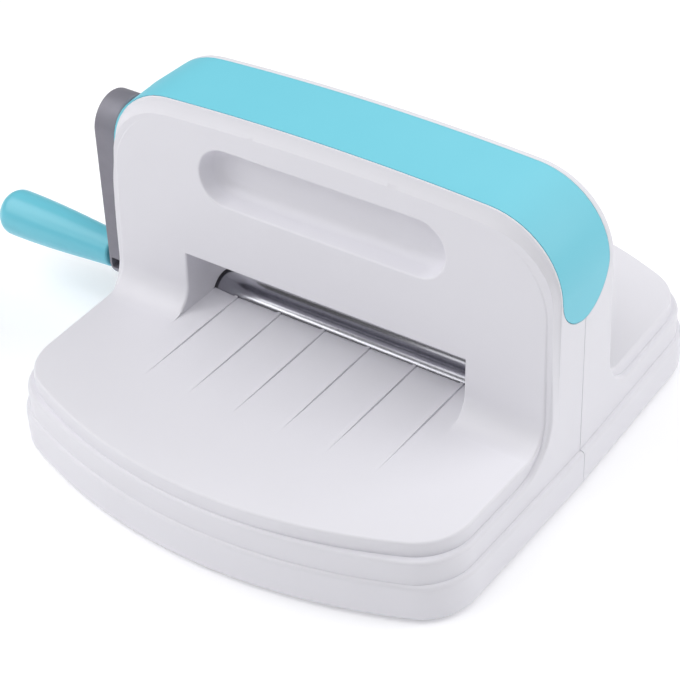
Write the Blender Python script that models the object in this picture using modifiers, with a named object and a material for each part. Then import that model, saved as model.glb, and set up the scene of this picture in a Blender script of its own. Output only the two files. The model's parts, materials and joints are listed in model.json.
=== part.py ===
"""Hand cranked die cutting machine, in metres, +Z up.

The sizes below are measured from the middle of the housing: X across the slot, Y along the feed
from the seam between the two housings, Z up from the bottom rim of the housings.
"""
import math
from typing import NamedTuple

import bmesh
import bpy
from mathutils import Matrix

MM = 0.001

# Clearances and counts that every piece shares
TOUCH_GAP = 0.3 * MM
BORE_PLAY = 0.08 * MM
OVERRUN = 5.0 * MM
MERGE_DISTANCE = 0.002 * MM
ROUND_STEPS = 20
LARGE_ROUND_STEPS = 28
FOOT_STEPS = 12
SMALL_ROUND_STEPS = 8
ARC_STEPS = 5
BOW_STEPS = 3
SMOOTH_ANGLE = math.radians(32)
FLAT_ANGLE = math.radians(0.2)

# Feed slot through the tower
SLOT_WIDTH = 160.0 * MM
SLOT_TOP_SHARE = 0.45818
DECK_HEIGHT_SHARE = 0.25912
SLOT_FLOOR_DROP = 0.35 * MM
SLOT_FLOOR_LENGTH = 50.0 * MM
ROOF_LENGTH = 16.0 * MM

# Housing walls, decks and tower
WALL = 3.0 * MM
SEAM_GAP = 0.3 * MM
SIDE_TAPER_SHARE = 0.0211
ROOF_SLOPE_SHARE = 0.03
CROWN_RADIUS = 1455.0 * MM
TOWER_CORNER = 40.0 * MM
TOWER_HEIGHT = 159.0 * MM
CHEEK_WIDTH = 48.6 * MM
SKIRT_HEIGHT = 20.2 * MM
SKIRT_ROUND = 2.4 * MM
SIDE_STEP = 2.5 * MM
SIDE_DECK_DROP = 8.0 * MM
SIDE_ROUND = 1.8 * MM
CORE_STEP = 2.7 * MM
CORE_DRAFT_SHARE = 0.0215
CORE_ROUND = 1.6 * MM
CORE_TOP_STEP = 7.4 * MM
LENGTH_STEP = 1.9 * MM
FACE_STEP = 0.8 * MM
SKIRT_BOW = 290.0 * MM
CORE_BOW = 263.0 * MM
BASE_CORNER = 29.0 * MM
CORE_FILLET = 14.0 * MM
SIDE_FILLET = 24.0 * MM
FRONT_LENGTH = 141.5 * MM
REAR_LENGTH = 144.5 * MM
FRONT_FACE_SHARE = 0.17535
REAR_FACE_SHARE = 0.17862
FACE_SLOPE_SHARE = 0.042
SIDE_BOTTOM = 8.0 * MM
CORE_BOTTOM = 14.0 * MM

# Guide ribs left between shallow channels in each deck
RIB_COUNT = 6
RIB_MARGIN = 13.525 * MM
RIB_WIDTH = 2.0 * MM
CHANNEL_LENGTH = 75.0 * MM
CHANNEL_DEPTH = 1.3 * MM

# Grip recess in each tower face
GRIP_INSET = 11.5 * MM
GRIP_HEIGHT = 30.0 * MM
GRIP_DEPTH = 12.0 * MM
GRIP_LEVEL_SHARE = 0.77736
GRIP_ROUND = 4.0 * MM

# Top cover
COVER_FRONT_SHARE = 0.12893
COVER_REAR_SHARE = 0.13208
COVER_TIP_LEVEL_SHARE = 0.61321
COVER_THICKNESS = 1.6 * MM

# Rollers
ROLLER_RADIUS_SHARE = 0.0566
LOWER_LEVEL_SHARE = 0.22642
NIP_HEIGHT_SHARE = 0.09434
JOURNAL_RADIUS_SHARE = 0.031447
ROLLER_CLEARANCE = 0.45 * MM
ROLLER_CHAMFER = 0.8 * MM
JOURNAL_END = 4.0 * MM
CLIP_RADIUS = 8.0 * MM
CLIP_THICKNESS = 1.2 * MM

# Steel frame
PLATE_SPACE = 3.0 * MM
PLATE_THICKNESS = 3.0 * MM
PLATE_FOOT_HALF_SHARE = 0.18868
PLATE_FOOT_HEIGHT = 24.0 * MM
PLATE_WAIST_HALF_SHARE = 0.14591
PLATE_WAIST_LEVEL_SHARE = 0.25157
PLATE_TOP_HALF_SHARE = 0.12264
PLATE_TOP_SHARE = 0.9434
PLATE_ROUND = 3.0 * MM
FLANGE_LENGTH = 14.0 * MM
BUSH_WALL_SHARE = 0.015723
BUSH_FLANGE = 2.0 * MM
BUSH_FLANGE_THICKNESS = 1.2 * MM
TIE_RADIUS = 4.0 * MM
TIE_SPIGOT_RADIUS = 2.5 * MM
TIE_SPIGOT_END = 1.0 * MM
LOW_TIE_INSET = 8.0 * MM
LOW_TIE_LEVEL = 15.0 * MM
MIDDLE_TIE_LEVEL_SHARE = 0.64151
TOP_TIE_LEVEL_SHARE = 0.89937

# Gear train on the left of the frame
CRANK_LEVEL_SHARE = 0.73585
IDLER_LEVEL_SHARE = 0.58491
CRANK_PINION_TEETH = 12
IDLER_WHEEL_TEETH = 24
IDLER_PINION_TEETH = 12
DRIVE_GEAR_TEETH = 18
ROLLER_GEAR_TEETH = 22
PRESSURE_ANGLE = math.radians(25)
ADDENDUM_SHARE = 1.0
DEDENDUM_SHARE = 1.25
BACKLASH = 0.3 * MM
GEAR_SIDE_PLAY = 1.0 * MM
ROLLER_GEAR_WIDTH = 8.0 * MM
DRIVE_GEAR_WIDTH = 8.0 * MM
WHEEL_WIDTH = 6.0 * MM
IDLER_AXLE_RADIUS = 3.5 * MM
SLEEVE_WALL = 1.2 * MM
AXLE_END = 0.8 * MM
OUTER_PLATE_LOW_HALF_SHARE = 0.14403
OUTER_PLATE_LOW_SHARE = 0.4717
OUTER_PLATE_TOP_HALF_SHARE = 0.12264
OUTER_PLATE_TOP_SHARE = 0.80503
SPACER_RADIUS = 2.6 * MM
SPACER_SPIGOT_RADIUS = 1.6 * MM
SPACER_LOW_SPREAD_SHARE = 0.1239
SPACER_LOW_LEVEL_SHARE = 0.5
SPACER_HIGH_SPREAD_SHARE = 0.09748
SPACER_HIGH_LEVEL_SHARE = 0.76918

# Crank
SHAFT_RADIUS_SHARE = 0.031447
SHAFT_HOLE_RADIUS = 7.5 * MM
ARM_SPACE = 2.8 * MM
ARM_THICKNESS = 14.0 * MM
HUB_RADIUS = 16.3 * MM
ARM_END_RADIUS = 11.0 * MM
ARM_LEAN = 6.0 * MM
ARM_DROP = 78.3 * MM
ARM_ROUND = 1.2 * MM
COLLAR_RADIUS = 12.0 * MM
SCREW_WELL_DEPTH = 3.6 * MM
CRANK_SCREW_RADIUS = 2.5 * MM
CRANK_SCREW_HEAD_RADIUS = 6.0 * MM
CRANK_SCREW_HEAD_HEIGHT = 3.0 * MM
CRANK_SCREW_LENGTH = 9.0 * MM
WINDOW_WIDTH = 10.0 * MM
WINDOW_HEIGHT = 7.0 * MM
WINDOW_REACH = 6.0 * MM

# Knob on the crank
KNOB_AXLE_RADIUS = 3.2 * MM
KNOB_AXLE_SETBACK = 1.0 * MM
KNOB_WASHER_RADIUS = 6.8 * MM
KNOB_WASHER_THICKNESS = 2.4 * MM
KNOB_ROOT_RADIUS = 9.3 * MM
KNOB_BULGE_RADIUS = 12.65 * MM
KNOB_BULGE_LENGTH = 70.5 * MM
KNOB_DOME = 9.4 * MM
KNOB_ROOT_ROUND = 1.5 * MM
KNOB_BORE_END = 18.0 * MM

# Base plate, feet and screws
BASE_PLATE_LOW = 0.5 * MM
BASE_PLATE_THICKNESS = 3.0 * MM
BASE_PLATE_PLAY = 0.5 * MM
FOOT_RADIUS = 9.0 * MM
FOOT_DROP = 2.0 * MM
FOOT_PEG_RADIUS = 3.0 * MM
FOOT_PEG_END = 1.5 * MM
FOOT_INSET = 24.6 * MM
FOOT_SETBACK = 49.5 * MM
BOSS_RADIUS = 5.5 * MM
BOSS_INSET = 66.6 * MM
BOSS_SETBACK = 29.5 * MM
SCREW_RADIUS = 1.6 * MM
SCREW_HEAD_RADIUS = 3.4 * MM
SCREW_HEAD_HEIGHT = 1.4 * MM
SCREW_LENGTH = 13.0 * MM
FRAME_SCREW_LENGTH = 7.0 * MM
PILOT_DEPTH = 12.0 * MM
FRAME_SCREW_INSET = 6.0 * MM
STIFFENER_THICKNESS = 2.0 * MM
STIFFENER_PITCH = 44.0 * MM
STIFFENER_COUNT = 3
STIFFENER_LOW = 14.0 * MM
STIFFENER_LENGTH = 78.0 * MM

# Places that follow from the sizes above
SLOT_TOP = SLOT_TOP_SHARE * TOWER_HEIGHT
DECK_HEIGHT = DECK_HEIGHT_SHARE * TOWER_HEIGHT
GRIP_LEVEL = GRIP_LEVEL_SHARE * TOWER_HEIGHT
COVER_TIP_LEVEL = COVER_TIP_LEVEL_SHARE * TOWER_HEIGHT
LOWER_LEVEL = LOWER_LEVEL_SHARE * TOWER_HEIGHT
NIP_HEIGHT = NIP_HEIGHT_SHARE * TOWER_HEIGHT
ROLLER_RADIUS = ROLLER_RADIUS_SHARE * TOWER_HEIGHT
PLATE_WAIST_LEVEL = PLATE_WAIST_LEVEL_SHARE * TOWER_HEIGHT
PLATE_TOP = PLATE_TOP_SHARE * TOWER_HEIGHT
MIDDLE_TIE_LEVEL = MIDDLE_TIE_LEVEL_SHARE * TOWER_HEIGHT
TOP_TIE_LEVEL = TOP_TIE_LEVEL_SHARE * TOWER_HEIGHT
CRANK_LEVEL = CRANK_LEVEL_SHARE * TOWER_HEIGHT
IDLER_LEVEL = IDLER_LEVEL_SHARE * TOWER_HEIGHT
OUTER_PLATE_LOW = OUTER_PLATE_LOW_SHARE * TOWER_HEIGHT
OUTER_PLATE_TOP = OUTER_PLATE_TOP_SHARE * TOWER_HEIGHT
SPACER_LOW_LEVEL = SPACER_LOW_LEVEL_SHARE * TOWER_HEIGHT
SPACER_HIGH_LEVEL = SPACER_HIGH_LEVEL_SHARE * TOWER_HEIGHT
FRONT_FACE = FRONT_FACE_SHARE * TOWER_HEIGHT
REAR_FACE = REAR_FACE_SHARE * TOWER_HEIGHT
COVER_FRONT = COVER_FRONT_SHARE * TOWER_HEIGHT
COVER_REAR = COVER_REAR_SHARE * TOWER_HEIGHT
PLATE_WAIST_HALF = PLATE_WAIST_HALF_SHARE * TOWER_HEIGHT
PLATE_TOP_HALF = PLATE_TOP_HALF_SHARE * TOWER_HEIGHT
PLATE_FOOT_HALF = PLATE_FOOT_HALF_SHARE * TOWER_HEIGHT
OUTER_PLATE_LOW_HALF = OUTER_PLATE_LOW_HALF_SHARE * TOWER_HEIGHT
OUTER_PLATE_TOP_HALF = OUTER_PLATE_TOP_HALF_SHARE * TOWER_HEIGHT
SPACER_LOW_SPREAD = SPACER_LOW_SPREAD_SHARE * TOWER_HEIGHT
SPACER_HIGH_SPREAD = SPACER_HIGH_SPREAD_SHARE * TOWER_HEIGHT
JOURNAL_RADIUS = JOURNAL_RADIUS_SHARE * TOWER_HEIGHT
SHAFT_RADIUS = SHAFT_RADIUS_SHARE * TOWER_HEIGHT
BUSH_WALL = BUSH_WALL_SHARE * TOWER_HEIGHT
FRAME_SCREW_Y = PLATE_FOOT_HALF - FRAME_SCREW_INSET
LOW_TIE_SPREAD = PLATE_FOOT_HALF - LOW_TIE_INSET
SIDE_DECK_HEIGHT = DECK_HEIGHT - SIDE_DECK_DROP
SKIRT_HALF_WIDTH = SLOT_WIDTH / 2 + CHEEK_WIDTH
GRIP_LENGTH = SLOT_WIDTH - 2 * GRIP_INSET
RIB_PITCH = (SLOT_WIDTH - 2 * RIB_MARGIN) / (RIB_COUNT - 1)
FOOT_X = SKIRT_HALF_WIDTH - FOOT_INSET
BOSS_X = SKIRT_HALF_WIDTH - BOSS_INSET
UPPER_LEVEL = LOWER_LEVEL + NIP_HEIGHT + 2 * ROLLER_RADIUS
TUNNEL_HALF = SLOT_WIDTH / 2
PLATE_INNER = TUNNEL_HALF + WALL + PLATE_SPACE
PLATE_OUTER = PLATE_INNER + PLATE_THICKNESS
ROLLER_GEAR_X = PLATE_OUTER + GEAR_SIDE_PLAY
DRIVE_GEAR_X = ROLLER_GEAR_X + ROLLER_GEAR_WIDTH + 2 * GEAR_SIDE_PLAY
WHEEL_X = DRIVE_GEAR_X + DRIVE_GEAR_WIDTH + 2 * GEAR_SIDE_PLAY
OUTER_PLATE_X = WHEEL_X + WHEEL_WIDTH + GEAR_SIDE_PLAY
SIDE_HALF_WIDTH = SKIRT_HALF_WIDTH - SIDE_STEP
CORE_HALF_WIDTH = SIDE_HALF_WIDTH - CORE_STEP
ARM_INNER = SIDE_HALF_WIDTH + ARM_SPACE
ARM_OUTER = ARM_INNER + ARM_THICKNESS
KNOB_X = ARM_OUTER + KNOB_WASHER_THICKNESS + 2 * TOUCH_GAP
KNOB_END = KNOB_X + KNOB_BULGE_LENGTH + KNOB_DOME
BASE_PLATE_TOP = BASE_PLATE_LOW + BASE_PLATE_THICKNESS
FRAME_LOW = BASE_PLATE_TOP + TOUCH_GAP
BUSH_RADIUS = JOURNAL_RADIUS + BORE_PLAY + BUSH_WALL
FLANGE_FACE = PLATE_INNER - TOUCH_GAP - BUSH_FLANGE_THICKNESS
ROLLER_HALF = FLANGE_FACE - TOUCH_GAP
PLACE_X = (KNOB_END - SKIRT_HALF_WIDTH) / 2
PLACE_Y = (FRONT_LENGTH - REAR_LENGTH) / 2

FRONT = -1
REAR = 1


class Finish(NamedTuple):
    """Colour, roughness and metallic value of one material"""
    name: str
    colour: tuple
    roughness: float
    metallic: float


WHITE = Finish("white_moulding", (0.80, 0.80, 0.83, 1.0), 0.45, 0.0)
TEAL = Finish("teal_moulding", (0.13, 0.60, 0.74, 1.0), 0.35, 0.0)
GREY = Finish("grey_casting", (0.26, 0.26, 0.30, 1.0), 0.45, 0.5)
STEEL = Finish("polished_steel", (0.56, 0.56, 0.60, 1.0), 0.22, 1.0)
PLATE_STEEL = Finish("zinc_plate", (0.50, 0.52, 0.54, 1.0), 0.40, 1.0)
BRONZE = Finish("sintered_bronze", (0.48, 0.32, 0.16, 1.0), 0.50, 1.0)
GEAR_STEEL = Finish("gear_steel", (0.30, 0.31, 0.33, 1.0), 0.40, 1.0)
RUBBER = Finish("black_rubber", (0.02, 0.02, 0.02, 1.0), 0.80, 0.0)
DARK_PLASTIC = Finish("dark_moulding", (0.05, 0.05, 0.06, 1.0), 0.50, 0.0)


class Body(NamedTuple):
    """One layer of a housing: a deck with a bowed front and a tower that rises from it"""
    half_width: float
    length: float
    bow: float
    base_corner: float
    deck: float
    top: float
    tower_corner: float
    face: float
    fillet: float
    draft_share: float
    bottom: float
    seam: float


def shrink(body, wall, bottom, seam):
    """The same layer with every wall moved in, and its own ends below the rim and past the seam"""
    return Body(
        body.half_width - wall,
        body.length - wall,
        body.bow - wall,
        body.base_corner - wall,
        body.deck - wall,
        body.top - wall,
        body.tower_corner - wall,
        body.face - wall,
        body.fillet + wall,
        body.draft_share,
        bottom,
        seam,
    )


def clear_scene():
    for item in list(bpy.data.objects):
        bpy.data.objects.remove(item)


def new_collection(name):
    collection = bpy.data.collections.new(name)
    bpy.context.scene.collection.children.link(collection)
    return collection


def material(finish):
    """The finish's material, made the first time it is asked for"""
    found = bpy.data.materials.get(finish.name)
    if found is None:
        found = bpy.data.materials.new(finish.name)
        found.use_nodes = True
        found.diffuse_color = finish.colour
        shader = found.node_tree.nodes["Principled BSDF"]
        shader.inputs["Base Color"].default_value = finish.colour
        shader.inputs["Roughness"].default_value = finish.roughness
        shader.inputs["Metallic"].default_value = finish.metallic
    return found


def add_empty(name, location, parent):
    empty = bpy.data.objects.new(name, None)
    empty.location = location
    empty.parent = parent
    bpy.data.collections["die_cutting_machine"].objects.link(empty)
    return empty


def keep(item, parent, finish):
    """Make the object a piece of the machine"""
    for collection in list(item.users_collection):
        collection.objects.unlink(item)
    bpy.data.collections["die_cutting_machine"].objects.link(item)
    item.parent = parent
    item.data.materials.clear()
    item.data.materials.append(material(finish))
    return item


def tool(item, parent):
    """Make the object a guide for Boolean modifiers, left out of renders"""
    item.parent = parent
    item.hide_render = True
    item.display_type = "WIRE"
    return item


def mesh_object(name, mesh):
    """An object in the cutters' collection, until keep makes it a piece"""
    item = bpy.data.objects.new(name, mesh)
    bpy.data.collections["cutters"].objects.link(item)
    return item


def shade_round(mesh):
    mesh.shade_smooth()
    mesh.set_sharp_from_angle(angle=SMOOTH_ANGLE)


def baked(item):
    """Replace an object by the mesh that its modifiers or curve make, with loose seams welded"""
    bpy.context.view_layer.update()
    evaluated = item.evaluated_get(bpy.context.evaluated_depsgraph_get())
    mesh = bpy.data.meshes.new_from_object(evaluated)
    welded = bmesh.new()
    welded.from_mesh(mesh)
    bmesh.ops.remove_doubles(welded, verts=welded.verts, dist=MERGE_DISTANCE)
    bmesh.ops.dissolve_degenerate(welded, edges=welded.edges, dist=MERGE_DISTANCE)
    welded.to_mesh(mesh)
    welded.free()
    shade_round(mesh)
    name = item.name
    placed = item.matrix_world.copy()
    bpy.data.objects.remove(item)
    result = mesh_object(name, mesh)
    result.matrix_world = placed
    return result


def boolean(target, guide, operation):
    """Cut, join or intersect the target with a guide"""
    modifier = target.modifiers.new(guide.name, "BOOLEAN")
    modifier.object = guide
    modifier.operation = operation
    modifier.solver = "EXACT"
    return target


def bevel(item, width, segments):
    modifier = item.modifiers.new("soft_edges", "BEVEL")
    modifier.width = width
    modifier.segments = segments
    modifier.limit_method = "ANGLE"
    modifier.angle_limit = SMOOTH_ANGLE
    return item


def block(name, low, high, parent):
    """A box between two corners"""
    box = bmesh.new()
    bmesh.ops.create_cube(box, size=1.0)
    size = [far - near for near, far in zip(low, high)]
    middle = [(far + near) / 2 for near, far in zip(low, high)]
    box.transform(Matrix.Translation(middle) @ Matrix.Diagonal(size + [1.0]))
    mesh = bpy.data.meshes.new(name)
    box.to_mesh(mesh)
    box.free()
    item = mesh_object(name, mesh)
    return tool(item, parent)


def rod(name, radius, near, far, centre, axis, parent, steps=ROUND_STEPS):
    """A cylinder along X or Z, from near to far on that axis, round the centre given in the others"""
    cylinder = bmesh.new()
    bmesh.ops.create_cone(
        cylinder,
        cap_ends=True,
        segments=steps,
        radius1=radius,
        radius2=radius,
        depth=far - near,
    )
    middle = (near + far) / 2
    if axis == "X":
        turn = Matrix.Rotation(math.pi / 2, 4, "Y")
        place = Matrix.Translation((middle, centre[0], centre[1]))
    else:
        turn = Matrix.Identity(4)
        place = Matrix.Translation((centre[0], centre[1], middle))
    cylinder.transform(place @ turn)
    mesh = bpy.data.meshes.new(name)
    cylinder.to_mesh(mesh)
    cylinder.free()
    item = mesh_object(name, mesh)
    return tool(item, parent)


def turned(name, profile, axis, location, steps=ROUND_STEPS):
    """Turn a profile of (radius, height) points, outer side from top to bottom, round X or Z"""
    mesh = bpy.data.meshes.new(name)
    points = [(radius, 0.0, height) for radius, height in profile]
    edges = [(index, index + 1) for index in range(len(points) - 1)]
    if profile[0][0] > 0:
        edges.append((len(points) - 1, 0))
    mesh.from_pydata(points, edges, [])
    item = mesh_object(name, mesh)
    screw = item.modifiers.new("turn", "SCREW")
    screw.steps = steps
    screw.render_steps = steps
    screw.use_merge_vertices = True
    screw.merge_threshold = MERGE_DISTANCE
    item = baked(item)
    if axis == "X":
        item.rotation_euler = (0.0, math.pi / 2, 0.0)
    item.location = location
    return item


def flat(name, loops, near, far, plane):
    """Extrude closed outlines between near and far, across the plane that holds them"""
    curve = bpy.data.curves.new(name, "CURVE")
    curve.dimensions = "2D"
    curve.fill_mode = "BOTH"
    curve.extrude = (far - near) / 2
    for loop in loops:
        spline = curve.splines.new("POLY")
        spline.points.add(len(loop) - 1)
        for point, (first, second) in zip(spline.points, loop):
            point.co = (first, second, 0.0, 1.0)
        spline.use_cyclic_u = True
    item = mesh_object(name, curve)
    middle = (near + far) / 2
    if plane == "YZ":
        turn = Matrix(((0, 0, 1, 0), (1, 0, 0, 0), (0, 1, 0, 0), (0, 0, 0, 1)))
        item.matrix_world = Matrix.Translation((middle, 0.0, 0.0)) @ turn
    elif plane == "XZ":
        turn = Matrix(((1, 0, 0, 0), (0, 0, -1, 0), (0, 1, 0, 0), (0, 0, 0, 1)))
        item.matrix_world = Matrix.Translation((0.0, middle, 0.0)) @ turn
    else:
        item.matrix_world = Matrix.Translation((0.0, 0.0, middle))
    return baked(item)


def arc(centre, radius, start, end, steps):
    """Points on an arc, both ends included, angles from the first axis"""
    points = []
    for step in range(steps + 1):
        angle = start + (end - start) * step / steps
        points.append((centre[0] + radius * math.cos(angle), centre[1] + radius * math.sin(angle)))
    return points


def circle(centre, radius, steps):
    return arc(centre, radius, 0.0, 2 * math.pi * (steps - 1) / steps, steps - 1)


def mirrored(half):
    """A symmetric outline from its half with positive first values, given anticlockwise"""
    return half + [(-first, second) for first, second in reversed(half)]


def bow_tangent(half_width, bow_radius, corner_radius):
    """Angle at which a large arc across the middle runs into the corner arc"""
    return math.asin((half_width - corner_radius) / (bow_radius - corner_radius))


def bow_points(half_width, peak, bow_radius, corner_radius):
    """Half of a bowed edge with a rounded corner, as (distance from the middle, height) points"""
    tangent = bow_tangent(half_width, bow_radius, corner_radius)
    corner = half_width - corner_radius
    level = peak - bow_radius + (bow_radius - corner_radius) * math.cos(tangent)
    points = []
    for step in range(BOW_STEPS):
        angle = tangent * step / BOW_STEPS
        points.append((bow_radius * math.sin(angle), peak - bow_radius + bow_radius * math.cos(angle)))
    for step in range(ARC_STEPS + 1):
        angle = tangent + (math.pi / 2 - tangent) * step / ARC_STEPS
        points.append((corner + corner_radius * math.sin(angle), level + corner_radius * math.cos(angle)))
    return points


def height_at(points, across):
    """Height of a bowed edge at a distance from the middle, straight between its points"""
    distance = abs(across)
    for (near, first), (far, second) in zip(points, points[1:]):
        if distance <= far:
            return first + (second - first) * (distance - near) / (far - near)
    return points[-1][1]


def bow_stations(points):
    return [across for across, _ in points]


def both_sides(stations):
    """Sorted stations to the left and right of the middle, without near repeats"""
    ordered = sorted(set(stations) | {-station for station in stations})
    kept = [ordered[0]]
    for station in ordered[1:]:
        if station - kept[-1] > MERGE_DISTANCE:
            kept.append(station)
    return kept


def drafted(across, along, level, half_width, draft_share):
    """Move a side in by its taper away from the seam and its draft above the deck"""
    inset = SIDE_TAPER_SHARE * along + draft_share * (level - DECK_HEIGHT)
    return across * (1 - inset / half_width)


def loft(name, stations, section, parent):
    """Skin closed sections that stand at stations along X, with an edge wherever the seam is crossed"""
    skin = bmesh.new()
    rings = []
    for station in stations:
        rings.append([skin.verts.new(point) for point in section(station)])
    for near, far in zip(rings, rings[1:]):
        for index, corner in enumerate(near):
            before = index - 1
            skin.faces.new((near[before], corner, far[index], far[before]))
    skin.faces.new(rings[0])
    skin.faces.new(rings[-1])
    bmesh.ops.recalc_face_normals(skin, faces=skin.faces)
    bmesh.ops.dissolve_limit(
        skin, angle_limit=FLAT_ANGLE, verts=skin.verts, edges=skin.edges, use_dissolve_boundaries=False
    )
    pieces = skin.verts[:] + skin.edges[:] + skin.faces[:]
    bmesh.ops.bisect_plane(
        skin, geom=pieces, dist=MERGE_DISTANCE, plane_co=(0.0, 0.0, 0.0), plane_no=(0.0, 1.0, 0.0)
    )
    mesh = bpy.data.meshes.new(name)
    skin.to_mesh(mesh)
    skin.free()
    item = mesh_object(name, mesh)
    return tool(item, parent)


def body_layer(name, body, side, parent):
    """Loft a housing layer from sections across the feed direction"""
    crown = bow_points(body.half_width, body.top, CROWN_RADIUS, body.tower_corner)
    plan = bow_points(body.half_width, body.length, body.bow, body.base_corner)
    stations = both_sides(bow_stations(crown) + bow_stations(plan))

    def section(across):
        roof = height_at(crown, across)
        front = height_at(plan, across)
        eaves = roof - ROOF_SLOPE_SHARE * body.face
        eaves_y = body.face - FACE_SLOPE_SHARE * (eaves - SLOT_TOP)
        foot = body.deck + body.fillet
        foot_y = body.face - FACE_SLOPE_SHARE * (foot - SLOT_TOP)
        points = [(-body.seam, body.bottom), (-body.seam, roof), (0.0, roof), (eaves_y, eaves)]
        points += arc((foot_y + body.fillet, foot), body.fillet, math.pi, math.pi + math.pi / 2, ARC_STEPS)
        points += [(front, body.deck), (front, body.bottom)]
        placed = []
        for along, level in points:
            inward = drafted(across, max(along, 0.0), level, body.half_width, body.draft_share)
            placed.append((inward, side * along, level))
        return placed

    return loft(name, stations, section, parent)


def skirt_layer(name, half_width, length, bow_radius, corner, low, high, side, parent):
    """Loft the low band round the base, or the space inside it"""
    plan = bow_points(half_width, length, bow_radius, corner)

    def section(across):
        front = height_at(plan, across)
        points = [(-OVERRUN, low), (-OVERRUN, high), (0.0, high), (front, high), (front, low), (0.0, low)]
        placed = []
        for along, level in points:
            inward = drafted(across, max(along, 0.0), DECK_HEIGHT, half_width, 0.0)
            placed.append((inward, side * along, level))
        return placed

    return loft(name, both_sides(bow_stations(plan)), section, parent)


def side_body(length, face):
    """Outer layer of a housing: side panels, tower shoulders and the middle band"""
    return Body(
        SIDE_HALF_WIDTH,
        length - LENGTH_STEP,
        SKIRT_BOW,
        BASE_CORNER,
        SIDE_DECK_HEIGHT,
        TOWER_HEIGHT,
        TOWER_CORNER,
        face - FACE_STEP,
        SIDE_FILLET,
        0.0,
        SIDE_BOTTOM,
        OVERRUN / 2,
    )


def core_body(length, face):
    """Inner layer of a housing: the deck, the fillet and the tower's face"""
    return Body(
        CORE_HALF_WIDTH,
        length - 2 * LENGTH_STEP,
        CORE_BOW,
        BASE_CORNER,
        DECK_HEIGHT,
        TOWER_HEIGHT - CORE_TOP_STEP,
        TOWER_CORNER,
        face,
        CORE_FILLET,
        CORE_DRAFT_SHARE,
        CORE_BOTTOM,
        OVERRUN / 4,
    )


def racetrack(grow):
    """Outline of the grip recess, in X and Z"""
    radius = GRIP_HEIGHT / 2 + grow
    reach = (GRIP_LENGTH - GRIP_HEIGHT) / 2
    right = arc((reach, GRIP_LEVEL), radius, -math.pi / 2, math.pi / 2, ARC_STEPS)
    return mirrored(right)


def grip_face(face):
    """Distance of the tower's face from the seam at the level of the recess"""
    return face - FACE_SLOPE_SHARE * (GRIP_LEVEL - SLOT_TOP)


def ordered_pair(first, second):
    return (min(first, second), max(first, second))


def grip_space(name, face, side, parent):
    """The scoop of the grip recess, with a soft floor"""
    floor = grip_face(face) - GRIP_DEPTH
    near, far = ordered_pair(side * floor, side * (face + 2 * GRIP_ROUND))
    space = flat(name, [racetrack(0.0)], near, far, "XZ")
    bevel(space, GRIP_ROUND, 2)
    return tool(space, parent)


def grip_walls(name, face, side, parent):
    """The walls that close the grip recess, up to the middle of the tower's wall"""
    floor = grip_face(face) - GRIP_DEPTH - WALL
    near, far = ordered_pair(side * floor, side * (grip_face(face) - WALL / 2))
    walls = flat(name, [racetrack(WALL)], near, far, "XZ")
    return tool(walls, parent)


def slot_space(name, side, parent):
    """The slot with its gently falling floor, open towards the deck"""
    rise = SLOT_FLOOR_DROP / SLOT_FLOOR_LENGTH
    far = SLOT_FLOOR_LENGTH + OVERRUN
    outline = [
        (side * -OVERRUN, DECK_HEIGHT - SLOT_FLOOR_DROP - rise * OVERRUN),
        (side * far, DECK_HEIGHT + rise * OVERRUN),
        (side * far, SLOT_TOP),
        (side * -OVERRUN, SLOT_TOP),
    ]
    return tool(flat(name, [outline], -TUNNEL_HALF, TUNNEL_HALF, "YZ"), parent)


def channel_space(name, index, side, parent):
    """A shallow channel between two ribs, deepest where it runs out at the roller"""
    left = (index - (RIB_COUNT - 1) / 2) * RIB_PITCH + RIB_WIDTH / 2
    right = left + RIB_PITCH - RIB_WIDTH
    rise = CHANNEL_DEPTH / CHANNEL_LENGTH
    far = lip_edge() + CHANNEL_LENGTH + OVERRUN
    deepest = DECK_HEIGHT - CHANNEL_DEPTH - rise * (lip_edge() + OVERRUN)
    outline = [
        (side * -OVERRUN, deepest),
        (side * far, DECK_HEIGHT + rise * OVERRUN),
        (side * far, DECK_HEIGHT + WALL),
        (side * -OVERRUN, DECK_HEIGHT + WALL),
    ]
    return tool(flat(name, [outline], left, right, "YZ"), parent)


def lip_edge():
    """Distance of the deck's lip from the seam, where the roller's clearance cuts it"""
    radius = ROLLER_RADIUS + ROLLER_CLEARANCE
    return math.sqrt(radius ** 2 - (DECK_HEIGHT - LOWER_LEVEL) ** 2)


def tongue_outline(grow):
    """Side view of the cover: a band over the tower that ends in half circles, in Y and Z"""
    radius = (COVER_FRONT + COVER_REAR) / 2
    centre = ((COVER_REAR - COVER_FRONT) / 2, COVER_TIP_LEVEL + radius)
    tip = arc(centre, radius + grow, math.pi, 2 * math.pi, 2 * ARC_STEPS)
    top = TOWER_HEIGHT + OVERRUN
    return tip + [(centre[0] + radius + grow, top), (centre[0] - radius - grow, top)]


def arch_solid(name, inset, parent):
    """The tower's outer arch over the cover's width, with its sides moved in"""
    half_width = SIDE_HALF_WIDTH - inset
    corner = TOWER_CORNER - inset
    reach = COVER_REAR + OVERRUN
    low = COVER_TIP_LEVEL - OVERRUN
    crown = bow_points(half_width, TOWER_HEIGHT - inset, CROWN_RADIUS, corner)

    def section(across):
        roof = height_at(crown, across)
        eaves = roof - ROOF_SLOPE_SHARE * reach
        points = [(-reach, low), (-reach, eaves), (0.0, roof), (reach, eaves), (reach, low), (0.0, low)]
        placed = []
        for along, level in points:
            placed.append((drafted(across, abs(along), level, half_width, 0.0), along, level))
        return placed

    return loft(name, both_sides(bow_stations(crown)), section, parent)


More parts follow.
